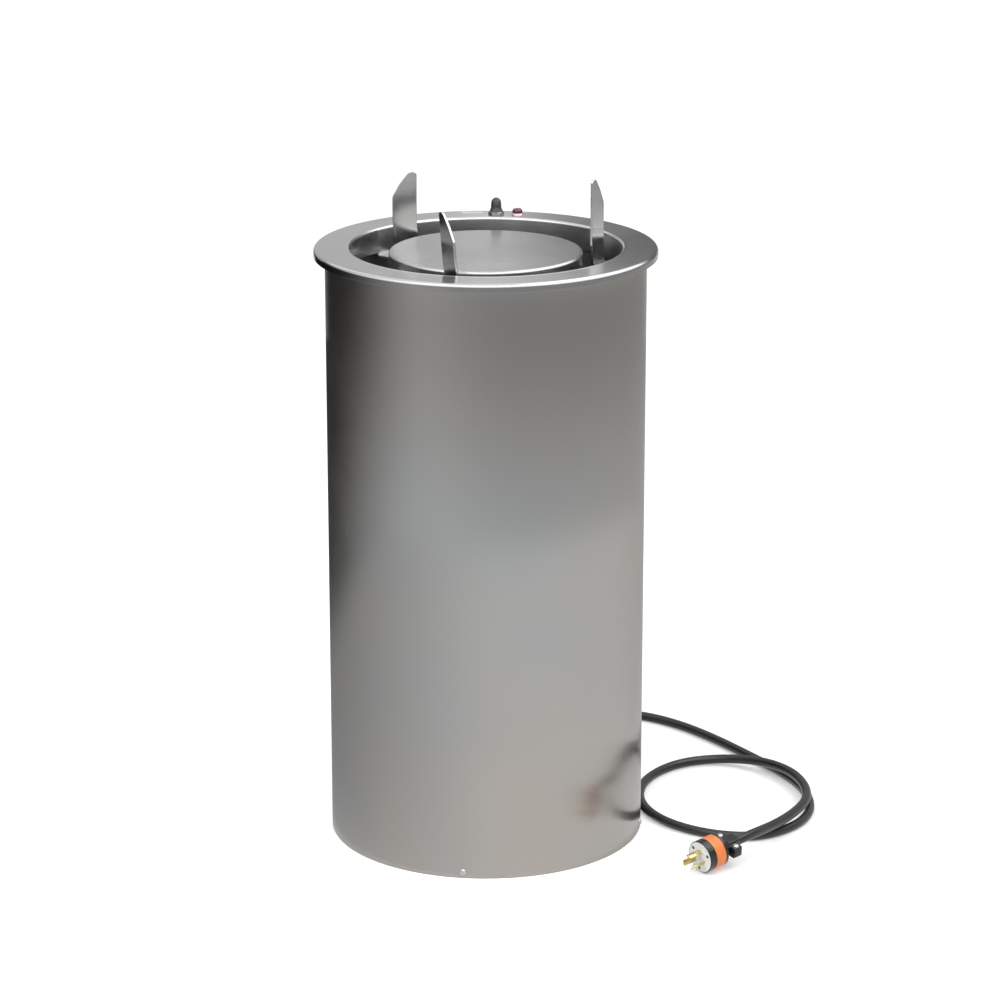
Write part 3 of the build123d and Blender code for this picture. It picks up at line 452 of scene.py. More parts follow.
def makeDrum():
    # outside: radius R, raised by the lap where the azimuth is within half its width, over a short slope
    s = named(drumSettings)
    lap = radians(s.lapAzimuth)
    half, slope = s.lapWidth / 2 / s.radius, s.lapSlope / s.radius
    edges = lap + np.array([-half - slope, -half, half, half + slope])
    angles = np.sort(np.concatenate([fullTurn(s.columns), edges]))
    raised = np.clip((half + slope - np.abs(angles - lap)) / slope, 0, 1)
    heights = np.linspace(s.edgeRound, s.height, s.rows)
    outside = [(s.radius - s.edgeRound, 0)] + [(s.radius, z) for z in heights]
    inside = [(s.radius - s.wall, z) for z in heights[::-1]] + [(s.radius - s.wall, 0)]
    line = np.array(outside + inside + outside[:1])
    grid = turnedGrid(line, angles)
    lift = np.zeros((len(line), 1))
    lift[:len(outside)] = s.lapHeight
    lift[-1] = s.lapHeight
    grid[..., 0] += lift * raised * np.cos(angles)
    grid[..., 1] += lift * raised * np.sin(angles)
    makePiece("drum", [grid * mm], "satin_stainless", ["outer_shell"])
    # spot welds: a shallow dish in a raised ring, height = ring - dish, over a closed back
    part = np.linspace(0, 1, 7)
    ring = s.weldRing * np.sin(np.pi * part)
    dish = np.stack([s.weldRadius * part, ring - s.weldDish * (1 - part) ** 2 + 0.02], axis=-1)
    dish = np.concatenate([dish, [(s.weldRadius, -0.2), (0, -0.2)]])
    spot = turnedGrid(dish, 20)
    welds = [placed(spot, polar(s.radius + s.lapHeight, s.lapAzimuth, z), *outwardAxes(s.lapAzimuth))
             for z in np.arange(40, s.height - 30, s.weldPitch)]
    makePiece("lapWelds", welds, "satin_stainless")


makeDrum()


# The spun rim, the carrier's plate and the small bare plate on the rim

rimSettings = dict(outer=203.8, top=726, collar=161.2, sheet=1.5, lip=10, lipRound=4.5, rimRound=3.2, collarLow=696,
                   bead=5.5, beadRise=0.9, columns=256)
discSettings = dict(radius=115, top=720.5, sheet=1.5, skirt=19, round=3.5, columns=192)
plateSettings = dict(x=-17, radius=190, length=27, width=9, thick=0.35, round=1.2, edge=0.12)


def makeRim():
    # the closed section of the sheet, every bend a true arc, turned once about the axis; the top rises in a low
    # bead at the collar
    s = named(rimSettings)
    lip, under = s.outer - s.sheet, s.top - s.sheet
    low, back = s.top - s.lip, s.collar + s.sheet
    line = roundedLine([(s.outer, low, 0.5), (s.outer, s.top, s.lipRound), (s.collar + s.bead, s.top, 1.2),
                        (s.collar, s.top + s.beadRise, s.rimRound), (s.collar, s.collarLow, 0.5),
                        (back, s.collarLow, 0.5), (back, under, s.rimRound - s.sheet),
                        (lip, under, s.lipRound - s.sheet), (lip, low, 0.5)], 8)
    makePiece("spunRim", [turnedGrid(line, s.columns) * mm], "brushed_stainless", ["top_flange"])


def makeDisc():
    # a spun pan, face up: its section from the axis out over the round edge, down the skirt and back inside
    s = named(discSettings)
    inner, under = s.radius - s.sheet, s.top - s.sheet
    line = roundedLine([(0, s.top, 0), (s.radius, s.top, s.round), (s.radius, s.top - s.skirt, 0.5),
                        (inner, s.top - s.skirt, 0.5), (inner, under, s.round - s.sheet), (0, under, 0)], 8)
    makePiece("carrierPlate", [turnedGrid(line, s.columns) * mm], "satin_stainless", ["carrier_disc"], "carrier",
              material=discMaterial)


def makePlate():
    # a small bare plate: a rounded oblong shrunk to its middle above and below, its upper edge eased
    s = named(plateSettings)
    a, b = s.length / 2, s.width / 2
    outline = roundedLine([(-a, -b, s.round), (a, -b, s.round), (a, b, s.round), (-a, b, s.round)], 5)
    ease = s.edge / b
    shrink = np.array([0, 1, 1, 1 - ease, 1 - 2 * ease, 0])[:, None, None]
    height = np.array([-0.02, -0.02, s.thick - s.edge, s.thick, s.thick, s.thick])[:, None, None]
    grid = np.concatenate([outline[None] * shrink, height + 0 * outline[None, :, :1]], axis=-1)
    y = sqrt(s.radius ** 2 - s.x ** 2)
    makePiece("rimPlate", [upright(grid, s.x, y, rimSettings["top"])], "zinc_plate")


makeRim()
makeDisc()
makePlate()
print("drum, rim and carrier plate made")


# Plate guides

guideSettings = dict(circle=148, azimuth=18.5, turn=42, width=30, heel=0.5, thickness=3, edge=0.9, low=84, top=798,
                     flat=9.5, slope=31, bulge=1.4, notchReach=13, notchLow=686.5, notchHigh=696, bendLow=700,
                     bendHigh=735, leanFrom=720, leanOver=78,
                     hang={1: (-0.8, 0, 2), 2: (-2.7, 0, -2.4), 3: (-2.4, -5.9, -5.2)})


def makeGuide(number):
    # the outline moved inwards while the edge rolls over: inset = e (1 - cos t), offset = e sin t past the middle
    # of each edge; the two flat faces close it. Each hangs a little differently from its rod, as worn ones do:
    # hang gives how far it is shifted along x, how far it leans along x at its top, and how much higher it is;
    # the shift comes in between the bend's heights and the lean grows from a height of its own. The slope's
    # middle is moved out square to it, along (-0.84, 0.54)
    s = named(guideSettings)
    shift, lean, higher = s.hang[number]
    top, shoulder = s.top + higher, s.width - s.flat
    bulge = ((s.heel + shoulder) / 2 - s.bulge * 0.84, top - s.slope / 2 + s.bulge * 0.54)
    outline = roundedLine([(s.heel, s.low, 1.6), (s.width, s.low, 6), (s.width, top, 4.5),
                           (shoulder, top, 8), (*bulge, 40), (s.heel, top - s.slope, 12),
                           (s.heel, s.notchHigh, 1.6), (s.notchReach, s.notchHigh, 1.5),
                           (s.notchReach, s.notchLow, 1.5), (s.heel, s.notchLow, 1.6)], 8)
    line = outline[:-1]
    ahead, behind = np.roll(line, -1, axis=0) - line, line - np.roll(line, 1, axis=0)
    way = ahead / np.hypot(*ahead.T)[:, None] + behind / np.hypot(*behind.T)[:, None]
    way /= np.hypot(*way.T)[:, None]
    inward = np.stack([-way[:, 1], way[:, 0]], axis=-1)
    turn = np.radians([-90, -68, -45, -22, 0, 0, 22, 45, 68, 90])
    side = np.repeat([-1, 1], 5)
    inset = s.edge * (1 - np.cos(turn))
    offset = side * (s.thickness / 2 - s.edge) + s.edge * np.sin(turn)
    inset = np.concatenate([inset[:1] + 0.2, inset, inset[-1:] + 0.2])
    offset = np.concatenate([offset[:1], offset, offset[-1:]])
    rim = line[None] + inset[:, None, None] * inward[None]
    rim = np.concatenate([rim, rim[:, :1]], axis=1)
    grid = np.stack([rim[..., 0], offset[:, None] + 0 * rim[..., 0], rim[..., 1]], axis=-1)
    azimuth = s.azimuth + 120 * (number - 1)
    heading = polar(1000, azimuth + 180 + s.turn)
    grid = placed(grid, polar(s.circle, azimuth), heading, (-heading.y, heading.x, 0), (0, 0, 1))
    low, high, foot, tall = (length * mm for length in (s.bendLow, s.bendHigh, s.leanFrom, s.leanOver))
    makePiece(f"plateGuide{number}", [grid], "brushed_stainless", [f"guide_blade_{number}"], f"guide_{number}",
              capped=True, material=guideMaterial, bent=(np.linspace(low, high, 8), lambda z: mm * (
                  shift * eased(z, low, high) + lean * max(0, z - foot) / tall)))


for number in (1, 2, 3):
    makeGuide(number)


# Lift springs: two beside each rod, hung between a hanger and a yoke

springSettings = dict(circle=140, azimuth=78.5, offset=22, coil=6.6, wireRadius=0.9, turns=38, low=561, high=690,
                      end=9, perTurn=15, sides=7)


def springGrid(x, y):
    # a wire along a helix that closes to the axis at both ends: distance from the axis r(t), angle w t and
    # height z(t); the wire's round section stands square to the line
    s = named(springSettings)
    t = np.linspace(0, 1, s.turns * s.perTurn + 1)
    z = s.low + s.end + t * (s.high - s.low - 2 * s.end)
    angle = 2 * np.pi * s.turns * t
    radius = s.coil * np.sin(np.pi / 2 * np.clip(np.minimum(t, 1 - t) * s.turns / 0.8, 0, 1))
    coil = around(radius, angle, z)
    ends = np.linspace(0, 1, 6)[:, None] * np.array([0, 0, s.end + 0.8])
    line = np.concatenate([coil[:1] - ends[::-1], coil[1:-1], coil[-1:] + ends])
    way = np.gradient(line, axis=0)
    way /= np.linalg.norm(way, axis=1)[:, None]
    level = np.stack([way[:, 1], -way[:, 0], 0 * way[:, 0]], axis=-1)
    level[np.linalg.norm(level, axis=1) < 0.2] = (1, 0, 0)
    level -= (level * way).sum(axis=1)[:, None] * way
    level /= np.linalg.norm(level, axis=1)[:, None]
    other = np.cross(way, level)
    a = fullTurn(s.sides)[None, :, None]
    grid = line[:, None] + s.wireRadius * (np.cos(a) * level[:, None] + np.sin(a) * other[:, None])
    return upright(grid, x, y)


def makeSprings(number):
    s = named(springSettings)
    azimuth = s.azimuth + 120 * (number - 1)
    rod, across = polar(s.circle, azimuth), polar(s.offset, azimuth + 90)
    grids = [springGrid(*((rod + across * side) / mm).xy) for side in (-1, 1)]
    makePiece(f"liftSprings{number}", grids, "spring_steel", [f"lift_springs_{number}"], ("cabinet", "carrier"),
              capped=True, blendAt=[(rod.x, rod.y, z * mm) for z in (s.high, s.low)])


for number in (1, 2, 3):
    makeSprings(number)
print("guides and springs made")


# Screws round the drum's foot

screwSettings = dict(azimuth=-98.2, count=4, circle=190.5, height=7.7, radius=3.75, rise=2.2, shank=1.9, length=8,
                     crossReach=2.1, crossWidth=0.55, crossDepth=1.0, threadDepth=0.25, pitch=0.8)


def screwGrids(length, crossed=True):
    # a pan head, height = h (1 - 0.75 (r / R)^4), less the recess's depth where a point is near a bar of its
    # cross or of its one slot; and a shank whose thread is a wave, radius = r - d (1 + cos(2 pi z / p)) / 2
    s = named(screwSettings)
    part = np.concatenate([np.linspace(0, 0.62, 14), np.linspace(0.66, 1, 9)])
    head = np.stack([s.radius * part, s.rise * (1 - 0.75 * part ** 4)], axis=-1)
    grid = turnedGrid(np.concatenate([head, [(s.radius, 0), (0, 0)]]), 64)
    x, y = grid[:-2, :, 0], grid[:-2, :, 1]
    reach = s.crossReach if crossed else 9
    across, along = (np.clip((s.crossWidth - np.abs(u)) / 0.15, 0, 1) * np.clip((reach - np.abs(v)) / 0.35, 0, 1)
                     for u, v in ((x, y), (y, x)))
    grid[:-2, :, 2] -= s.crossDepth * (np.maximum(across, along) if crossed else across)
    z = np.linspace(0, -length, 41)
    wave = s.shank - s.threadDepth * (1 + np.cos(2 * np.pi * z / s.pitch)) / 2
    wave[[0, -1]] = 0
    return [grid, turnedGrid(np.stack([wave, z], axis=-1), 20)]


def makeBaseScrews():
    s = named(screwSettings)
    azimuths = s.azimuth + 360 / s.count * np.arange(s.count)
    grids = [placed(grid, polar(s.circle, azimuth, s.height), *outwardAxes(azimuth))
             for azimuth in azimuths for grid in screwGrids(s.length)]
    makePiece("baseScrews", grids, "zinc_plate", ["bottom_screws"])


makeBaseScrews()


# The switch's boot and the pilot light

bootSettings = dict(x=12, circle=181.5, flats=17, hexHeight=3.4, crownHeight=5.2, crown=7.5, bore=7.0, pivot=8,
                    radius=6.3, waist=6.35, waistHeight=3.2, tall=20.2, lean=10, flare=1.1, flareHeight=2.6,
                    rim=726)
lampSettings = dict(x=38, circle=181.5, radius=6.35, height=7.7, bezel=7.3, bezelHeight=1.0, rim=726)


def hexRadius(angles, flats):
    # distance from a hexagon's middle to its side, along each angle
    return flats / 2 / np.cos((angles % (np.pi / 3)) - np.pi / 6)


def makeBoot():
    s = named(bootSettings)
    y = sqrt(s.circle ** 2 - s.x ** 2)
    angles = fullTurn(96)
    # the nut: at each height its radius is the smaller of the hexagon's and a cone's; the rubber's round foot
    # stands on it
    z = np.concatenate([[0, 0.25], np.linspace(0.8, s.hexHeight, 12)])
    cone = s.flats / 2 + 1.6 - np.clip(z - s.hexHeight + 1.5, 0, 9) * 1.25 - np.clip(0.3 - z, 0, 1)
    side = np.minimum(hexRadius(angles, s.flats)[None], cone[:, None])
    base = around(side, angles, z[:, None])
    bore = turnedGrid([(s.bore, s.hexHeight), (s.bore, 0)], angles)
    makePiece("bootNut", [upright(np.concatenate([base, bore, base[:1]]), s.x, y, s.rim)], "bezel_chrome",
              ["boot_nut"], material=nutMaterial)
    inner, under = s.bore - 0.4, s.hexHeight - 0.1
    crown = roundedLine([(s.crown + 1.0, under, 0.4), (s.crown, s.crownHeight, 0.8),
                         (inner, s.crownHeight, 0.3), (inner, under, 0)])
    makePiece("bootFoot", [upright(turnedGrid(crown, angles), s.x, y, s.rim)], "black_rubber")
    # the finger: a ball in the nut, a ring near its foot, a slight taper and a full dome
    lean = radians(s.lean)
    axes = (1, 0, 0), (0, cos(lean), -sin(lean)), (0, sin(lean), cos(lean))
    foot = Vector((s.x, y, s.rim + s.pivot)) * mm
    straight = s.tall - s.pivot - s.radius
    t = np.linspace(0, np.pi / 2, 14)
    dome = np.stack([(s.radius - 0.2) * np.cos(t), straight + s.radius * np.sin(t)], axis=-1)
    ball = np.stack([s.radius * np.sin(t[:-1]), -s.radius * np.cos(t[:-1])], axis=-1)
    ring = [(s.radius, 0), (s.waist, s.waistHeight), (s.radius, s.waistHeight + 1)]
    finger = turnedGrid(np.concatenate([ball, ring, dome]), 56)
    makePiece("bootFinger", [placed(finger, foot, *axes)], "black_rubber", ["toggle_boot"], "toggle")
    # the skirt between them: from a level ring on the foot up to a leaning ring on the finger, each point's
    # distance out falling as (1 - t)^2 while its height rises as t, and back down inside
    t = np.linspace(0, 1, 12)[:, None, None]
    low = upright(turnedGrid([(s.waist, -0.1)], 56), s.x, y, s.rim + s.crownHeight)
    high = placed(turnedGrid([(s.waist, s.flareHeight)], 56), foot, *axes)
    skirt = low * (1 - t) + high * t
    out = turnedGrid([(s.flare, 0)], 56) * mm
    inner = skirt[::-1] - out * 0.4
    skirt = skirt + out * (1 - t) ** 2
    ends = [(foot.x, foot.y, z) for z in ((s.rim + s.crownHeight) * mm, foot.z + s.flareHeight * mm)]
    makePiece("bootSkirt", [np.concatenate([skirt, inner, skirt[:1]])], "black_rubber", body=("cabinet", "toggle"),
              blendAt=ends)


def makeLamp():
    s = named(lampSettings)
    y = sqrt(s.circle ** 2 - s.x ** 2)
    bezel = roundedLine([(s.radius + 0.02, 0, 0), (s.bezel, 0, 0), (s.bezel, s.bezelHeight, 0.6),
                         (s.radius + 0.02, s.bezelHeight, 0.25)], 6)
    makePiece("lampBezel", [upright(turnedGrid(bezel, 64), s.x, y, s.rim)], "bezel_chrome", ["pilot_bezel"])
    # the lens: a cap whose side and top run into each other, (r / R)^4 + (z / H)^4 = 1 above its foot
    t = np.linspace(0, np.pi / 2, 28)
    cap = np.stack([s.radius * np.cos(t) ** 0.5, s.height * np.sin(t) ** 0.5], axis=-1)
    cap[-1, 0] = 0
    cap = np.concatenate([[(0, 0)], cap])
    makePiece("lampLens", [upright(turnedGrid(cap, 64), s.x, y, s.rim)], "red_lens", ["pilot_lens"])


makeBoot()
makeLamp()
print("screws, boot and lamp made")


# The plug's pieces, in its own axes: across, down, and back along it from the face

def inPlug(grid):
    return placed(grid, plugCentre, plugAcross, plugDown, plugBack)


def bladeGrids(azimuth, hooked):
    # a strip bent to the blade circle: across it the angle runs over the arc, narrowed by the locking notch;
    # it thins and narrows at the tip
    s = named(plugSettings)
    half, tip = s.bladeArc / 2, -s.bladeLength
    z = np.array([s.bladeSeat, -2.9, -3.1, -7.9, -8.1, tip + 1.8, tip + 0.8, tip + 0.2, tip])
    high = half * np.array([1, 1, 0.36, 0.36, 1, 1, 0.96, 0.84, 0.68])
    low = -half * np.array([1, 1, 1, 1, 1, 1, 0.96, 0.84, 0.68])
    thin = np.array([1, 1, 1, 1, 1, 1, 0.9, 0.7, 0.35])
    across = np.linspace(0, 1, 9)
    face = np.stack([across, 0 * across + 0.5], axis=-1)
    edge = np.array([(1.012, 0.25), (1.018, 0), (1.012, -0.25)])
    section = np.concatenate([face, edge, (1, 0) - face, (1, 0) - edge, face[:1]])
    angle = np.radians(azimuth + low[:, None] + (high - low)[:, None] * section[None, :, 0])
    radius = s.bladeCircle + s.bladeThick * thin[:, None] * section[None, :, 1]
    grids = [around(radius, angle, z[:, None])]
    if hooked:
        # the hook: a short tongue from the tip in towards the middle
        z = tip + np.array([4.8, 5.0, 0.4, 0.1])[:, None]
        far = s.bladeCircle - 3.4 * np.array([0.6, 1, 1, 0.6])[:, None] * np.array([0, 1, 1, 0, 0])[None]
        turn = np.radians(azimuth + 9 * np.array([-1, -1, 1, 1, -1]))[None] + 0 * z
        grids.append(around(far, turn, z))
    return grids


def jawGrid(side):
    # one jaw: an outline across the plug, humped over the cord and flat at its ears, carried back along it
    # and drawn in a little at both ends; behind the ears only the hump goes on, over the cord's end
    s = named(plugSettings)
    top = s.earTop + (s.lowerMore if side > 0 else 0)
    foot, crest, high = s.humpFoot, s.humpCrest, s.humpHeight
    outline = roundedLine([(-s.ear, 0.3, 0.4), (s.ear, 0.3, 0.4), (s.ear, top, 2.2), (foot, top, 1.0),
                           (crest, high, 1.8), (-crest, high, 1.8), (-foot, top, 1.0), (-s.ear, top, 2.2)], 6)
    back, end = s.earLength, s.clampEnd + 0.5 - s.clamp
    z = np.array([0, 0, 0.25, 0.8, back - 0.8, back - 0.25, back, back + 0.02, back + 0.3, end - 1.2, end - 0.4,
                  end, end])
    shrink = np.array([0.94, 0.965, 0.99, 1, 1, 0.99, 0.965, 0.965, 0.96, 0.95, 0.93, 0.88, 0.8])[:, None, None]
    reach = np.where(np.arange(len(z)) < 7, s.ear, s.humpReach)[:, None]
    middle = np.array([0, 4.0])
    grid = np.repeat(outline[None], len(z), axis=0)
    grid[..., 0] = np.clip(grid[..., 0], -reach, reach)
    grid = middle + (grid - middle) * shrink
    return np.stack([grid[..., 0], side * grid[..., 1], z[:, None] + s.clamp + 0 * grid[..., 0]], axis=-1)


def makePlug():
    # all the pieces of the plug, in a list
    s = named(plugSettings)
    radius, seat, inner = s.radius, s.radius - s.bandWall, s.radius - s.faceInset
    blades = [inPlug(grid) for k, azimuth in enumerate((30, 150, 270)) for grid in bladeGrids(azimuth, k == 2)]
    # the face: a raised rim, a shallow dish and a raised middle
    face = roundedLine([(0, 8, 0), (inner - 0.05, 8, 0), (inner - 0.05, -0.6, 0.4), *s.face], 4)
    # the shell: turned, its front ring pulled in by shallow thumb flutes, (1 - cos(24 a)) / 2 round it
    line = roundedLine([(0, 8, 0), (inner, 8, 0), (inner, 0, 0.2), (radius, 0, 0.5),
                        *((radius, z, 0) for z in (1.2, 2.2, 3.5, 5, 6.5, 7.8, 8.8)), (radius, s.ring, 0.3),
                        (seat, s.ring, 0), (seat, s.band, 0), (radius, s.band, 0.3),
                        (radius, s.shoulder, 1.6), (s.neckRadius, s.neck, 2.5),
                        (s.tailRadius, s.clamp, 0.3), (0, s.clamp, 0)], 6)
    angles = fullTurn(144)
    shell = turnedGrid(line, angles)
    flute = np.clip(1 - np.abs(line[:, 1] - s.ring / 2) / (s.ring / 2 - 1), 0, 1) * (line[:, 0] > inner)
    shell[..., :2] *= (1 - 0.012 * flute[:, None] * (1 - np.cos(24 * angles)) / 2)[..., None]
    band = roundedLine([(seat, s.ring + 0.1, 0), (radius - 0.05, s.ring + 0.1, 0.15),
                        (radius - 0.05, s.band - 0.1, 0.15), (seat, s.band - 0.1, 0)], 3)
    screws = []
    for side in (-1, 1):
        origin = plugCentre + (plugAcross * side * (s.ear - 5) - plugDown * s.earTop
                               + plugBack * (s.clamp + s.earLength / 2)) * mm
        screws += [placed(grid, origin, plugAcross, plugBack, -plugDown) for grid in screwGrids(12, crossed=False)]
    # painted shade: small black discs, a little proud of the face, stand for the shade in wells between the blades
    wellShade = turnedGrid([(0, -0.25), (1.6, -0.27), (1.9, -0.4), (2.1, -0.3), (2.1, 0.2), (0, 0.2)], 20)
    wellShades = [inPlug(wellShade + s.wellCircle * np.array([cos(a), sin(a), 0])) for a in np.radians([90, 210, 330])]
    rows = [("plugBlades", blades, "plug_brass", ["plug_blades"]),
            ("plugFace", [inPlug(turnedGrid(face, 72))], "plug_white", ["plug_face"]),
            ("plugShell", [inPlug(shell)], "plug_black", ["plug_shell"]),
            ("plugBand", [inPlug(turnedGrid(band, 96))], "plug_orange", ["plug_band"]),
            ("plugClamp", [inPlug(jawGrid(side)) for side in (-1, 1)], "plug_black", ["plug_clamp"]),
            ("plugScrews", screws, "zinc_plate", ["plug_screws"]), ("plugWellShades", wellShades, "plug_black", [])]
    return [makePiece(*row, capped=row[0] in ("plugBlades", "plugClamp")) for row in rows]


# The gland on the drum and the sleeve that eases the cord out of it

glandSettings = dict(radius=190.5, azimuth=80, height=36, hex=26, hexLength=6, capLength=12, capRadius=9.4,
                     barrel=9.9, sleeveEnd=39.5, sleeveWide=9.0, sleeveNarrow=7.1)


def makeGland():
    s = named(glandSettings)
    place = polar(s.radius, s.azimuth, s.height)
    axes = outwardAxes(s.azimuth)
    angles = fullTurn(96)
    # the hexagon: the smaller of its flats and two cones that ease its corners
    z = np.linspace(0, s.hexLength, 13)
    ease = s.hex / 2 + 1.4 - 1.3 * np.clip(np.maximum(0.9 - z, z - s.hexLength + 0.9), 0, 9)
    side = np.minimum(hexRadius(angles, s.hex)[None], ease[:, None])
    base = around(side, angles, z[:, None])
    # the cap: a round-shouldered cone with shallow flutes for the fingers
    end = s.hexLength + s.capLength
    line = roundedLine([(0, s.hexLength, 0), (s.hex / 2 - 0.6, s.hexLength, 0),
                        (s.hex / 2 - 0.9, end - 4, 3), (s.capRadius, end, 0.8), (0, end, 0)], 7)
    cap = turnedGrid(line, angles)
    flute = 0.45 * np.clip(1 - np.abs(line[:, 1] - s.hexLength - 3.5) / 4, 0, 1)[:, None]
    cap[..., :2] *= (1 - flute / 13 * (1 - np.cos(16 * angles)) / 2)[..., None]
    barrel = turnedGrid([(0, -12), (s.barrel, -12), (s.barrel, 0.1), (0, 0.1)], 48)
    base = np.concatenate([base[:1] * (0, 0, 1), base, base[-1:] * (0, 0, 1)])
    gland = makePiece("cordGland", [placed(grid, place, *axes) for grid in (base, cap, barrel)], "black_plastic",
                      ["cord_gland"])
    # the sleeve: a taper with rounded ribs, radius = taper - groove (1 - |sin|), and a rolled end
    t = np.linspace(0, 1, 61)
    radius = s.sleeveWide + (s.sleeveNarrow - s.sleeveWide) * t
    radius -= 0.7 * (1 - np.abs(np.sin(np.pi * 6 * t)) ** 0.6) * np.clip((1 - t) / 0.12, 0, 1)
    line = np.stack([radius, end + t * (s.sleeveEnd - end)], axis=-1)
    line = np.concatenate([[(0, end)], line, [(s.sleeveNarrow - 0.5, s.sleeveEnd), (0, s.sleeveEnd)]])
    sleeve = makePiece("strainSleeve", [placed(turnedGrid(line, 48), place, *axes)], "black_rubber",
                       ["strain_relief"])
    return [gland, sleeve]


onCord = makePlug() + makeGland()
print("plug and gland made")


# Camera

cameraSettings = dict(place=(0.0167, -4.1097, 1.6347), pitchDown=16.56, lens=128.0, sensor=36.0)
cameraData = bpy.data.cameras.new("camera")
cameraData.lens = cameraSettings["lens"]
cameraData.sensor_width = cameraSettings["sensor"]
camera = addObject("camera", cameraData)
camera.location = cameraSettings["place"]
camera.rotation_euler = (radians(90 - cameraSettings["pitchDown"]), 0, 0)
scene.camera = camera
scene.view_settings.view_transform = "Standard"


# Studio: a wide pale floor, a cove and a card behind that only reflections see, a plain sky and two soft lamps

floorSettings = dict(reach=16.0, tone="#F1F1F0", glow=0.32)


def stagePiece(name, grid, material):
    # one staged sheet
    mesh = bpy.data.meshes.new(name)
    mesh.from_pydata(grid.reshape(-1, 3).tolist(), [], gridFaces(*grid.shape[:2]).tolist())
    piece = addObject(name, mesh, material)
    return piece


def makeFloor():
    # pale and matt; to the camera it also glows a little, so that it reads as white and keeps the shadow
    s = named(floorSettings)
    material, tree, shader, place = startMaterial("paleFloor", {
        "Base Color": linear(s.tone), "Roughness": 0.9, "Specular IOR Level": 0.1,
        "Emission Color": (1, 1, 1, 1)})
    path = addNode(tree, "LightPath")
    addNode(tree, "Math", {0: path.outputs["Is Camera Ray"], 1: s.glow},
            feeds=shader.inputs["Emission Strength"], operation="MULTIPLY")
    side = np.array([-s.reach, s.reach])
    x, y = np.meshgrid(side, side)
    stagePiece("floor", np.stack([x, y, 0 * x], axis=-1), material)


def glowPiece(name, grid, tone):
    # a staged sheet whose own light is stored at each of its points, and only reflections see it
    material = bpy.data.materials.new(name)
    tree = emptyTree(material)
    stored = addNode(tree, "Attribute", attribute_name="tone")
    glow = addNode(tree, "Emission", {"Color": stored.outputs["Color"]})
    addNode(tree, "OutputMaterial", {"Surface": glow.outputs[0]})
    piece = stagePiece(name, grid, material)
    colours = piece.data.color_attributes.new("tone", "FLOAT_COLOR", "POINT")
    colours.data.foreach_set("color", np.repeat(tone.ravel(), 4).astype(np.float32))
    piece.visible_camera = piece.visible_diffuse = False
    piece.visible_shadow = piece.visible_transmission = False


coveSettings = dict(radius=1.52, height=1.0, ahead=152, dip=0.298, step=0.25, dome=1.9, wall=0.42,
                    wallSwell=(0.21, -44, 27), wallRight=0.02, wallFade=(-112, -42), foot=0.73,
                    footSwell=(0.13, -30, 30), footRight=0.1, footFade=(-136, -50), footTop=0.38, dark=0.02,
                    ground=0.98, groundLeft=0.0048, groundRight=0.3, groundBack=0.4, edgeDrop=0.2, edgeHalf=0.02,
                    edgeSpread=0.08, line=0.44, lineGlow=0.9, lineMore=0.6, lineDrop=0.011, lineWidth=0.011,
                    lineFade=(-75, -40), ceiling=3.0, ceilingLow=0.3, ceilingFade=(-130, -40), ceilingStart=0.1,
                    ceilingEnd=0.4)


def swell(bearing, height, middle, spread):
    # a soft hump round one bearing, h exp(-((b - m) / w)^2)
    return height * np.exp(-((bearing - middle) / spread) ** 2)


def makeCove():
    # ground, wall and ceiling in one sheet: x = r sin b, y = -r cos b for the bearing b from the front. Its tone
    # is worked out from b and the height u at which a reflection in the drum would meet the wall:
    # the wall is dark far to the left, paler left of the middle, lighter towards its foot, and has one pale line
    # below a bright ceiling; ahead of the bearing limit it sinks, so that the camera looks over it
    s = named(coveSettings)
    bearing = np.linspace(-180, 180, 121)
    line = [(r, 0.0005) for r in np.linspace(0.2, s.radius, 28)]
    line += [(s.radius, z) for z in np.linspace(0.01, s.height, 100)]
    line += [(s.radius * cos(t), s.height + s.dome * sin(t)) for t in np.linspace(0.1, 1.2, 12)]
    line = np.array(line)
    b = np.radians(bearing)
    radius, height = line[:, 0][:, None], line[:, 1][:, None]
    ahead = 1 - eased(np.abs(bearing), s.ahead - 4, s.ahead)
    radius = np.where(height > s.height, s.radius + (radius - s.radius) * ahead, radius + 0 * ahead)
    height = np.where(height > s.step, s.step + (height - s.step) * ahead, height)
    grid = np.stack([radius * np.sin(b), -radius * np.cos(b), height + 0 * b], axis=-1)
    u = height - (s.radius - radius) * s.dip
    left, right = eased(-bearing, 60, 150), eased(bearing, 60, 120)
    high = (s.wall + swell(bearing, *s.wallSwell) + s.wallRight * right) * (
        s.dark + (1 - s.dark) * eased(bearing, *s.wallFade))
    low = (s.foot + swell(bearing, *s.footSwell) - s.footRight * eased(bearing, 90, 145)) * (
        (1 - s.dark) * eased(bearing, *s.footFade) + s.dark)
    ground = s.ground - s.groundLeft * np.clip(-bearing, 0, 150) - s.groundRight * eased(bearing, 85, 150)
    ground *= 1 - s.groundBack * eased(np.abs(bearing), 135, 175)
    wall = low + (high - low) * eased(u, 0.0, s.footTop)
    line = (s.lineGlow + s.lineMore * eased(bearing, 30, 90)) * eased(bearing, *s.lineFade)
    wall += line * np.exp(-((u - s.line + s.lineDrop * eased(bearing, 20, 90)) / s.lineWidth) ** 2)
    ceiling = s.ceiling * (s.ceilingLow + (1 - s.ceilingLow) * eased(bearing, *s.ceilingFade))
    wall += (ceiling - wall) * eased(u, s.height - s.ceilingStart, s.height + s.ceilingEnd)
    middle, half = -s.edgeDrop * left, s.edgeHalf + s.edgeSpread * left
    tone = ground + (wall - ground) * eased(u, middle - half, middle + half)
    glowPiece("cove", grid, tone)


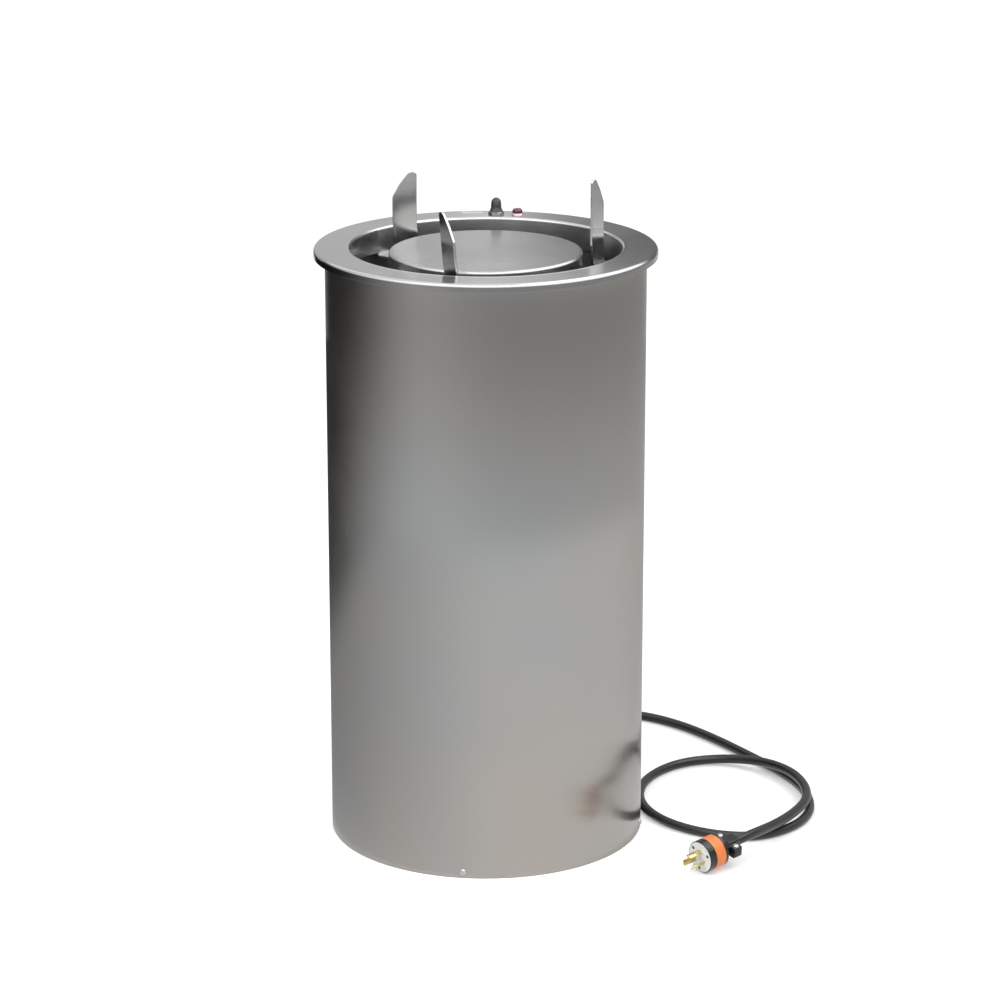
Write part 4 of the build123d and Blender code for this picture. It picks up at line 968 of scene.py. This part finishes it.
cardSettings = dict(place=1.0, left=0.62, right=0.18, edge=(0.04, 0.26), slant=0.8, back=0.34, backWidth=0.06,
                    backLess=0.75, backFade=(0.9, 1.0), top=1.6, topFade=(1.2, 1.55))


def makeCard():
    # an upright card behind, for the level metal: pale on the left, dark on the right and more so low down, and
    # brightest low in the middle
    s = named(cardSettings)
    x, z = np.meshgrid(np.linspace(-1.6, 1.6, 161), np.linspace(0.75, 2.6, 75))
    tone = s.left + (s.right - s.left) * eased(x - s.slant * (z - 1), *s.edge)
    tone += s.back * np.exp(-(x / s.backWidth) ** 2) * (1 - s.backLess * eased(z, *s.backFade))
    tone = tone + (s.top - tone) * eased(z, *s.topFade)
    glowPiece("card", np.stack([x, s.place + 0 * x, z], axis=-1), tone)


skyTones = [(0.0, "#949494"), (1.0, "#FFFFFF"), (0.35, "#A2A2A2"), (0.62, "#EEEEEE")]


def makeWorld():
    # a plain sky: palest overhead, dimmer low down
    world = bpy.data.worlds.new("studio")
    scene.world = world
    tree = emptyTree(world)
    height = addNode(tree, "SeparateXYZ", {"Vector": addNode(tree, "TexCoord").outputs["Generated"]})
    tone = addNode(tree, "ValToRGB", {"Fac": height.outputs[2]}, skyTones)
    sky = addNode(tree, "Background", {"Color": tone.outputs[0], "Strength": 1.0})
    addNode(tree, "OutputWorld", {"Surface": sky.outputs[0]})


# each lamp's place, size and power
softLampSettings = dict(keyLamp=((-1.6, -1.8, 3.2), 2.2, 60), fillLamp=((2.2, -1.0, 3.0), 2.2, 35))


def addLamp(name, place, size, power):
    # a soft square lamp that looks at the middle of the object; reflections see the cove instead of it
    data = bpy.data.lights.new(name, "AREA")
    data.shape = "SQUARE"
    data.size = size
    data.energy = power
    lamp = addObject(name, data)
    lamp.visible_glossy = False
    lamp.location = place
    lamp.rotation_euler = (Vector((0, 0, 0.4)) - Vector(place)).to_track_quat("-Z", "Y").to_euler()


makeFloor()
makeCove()
makeCard()
makeWorld()
for name, place in softLampSettings.items():
    addLamp(name, *place)
print("camera and studio set")
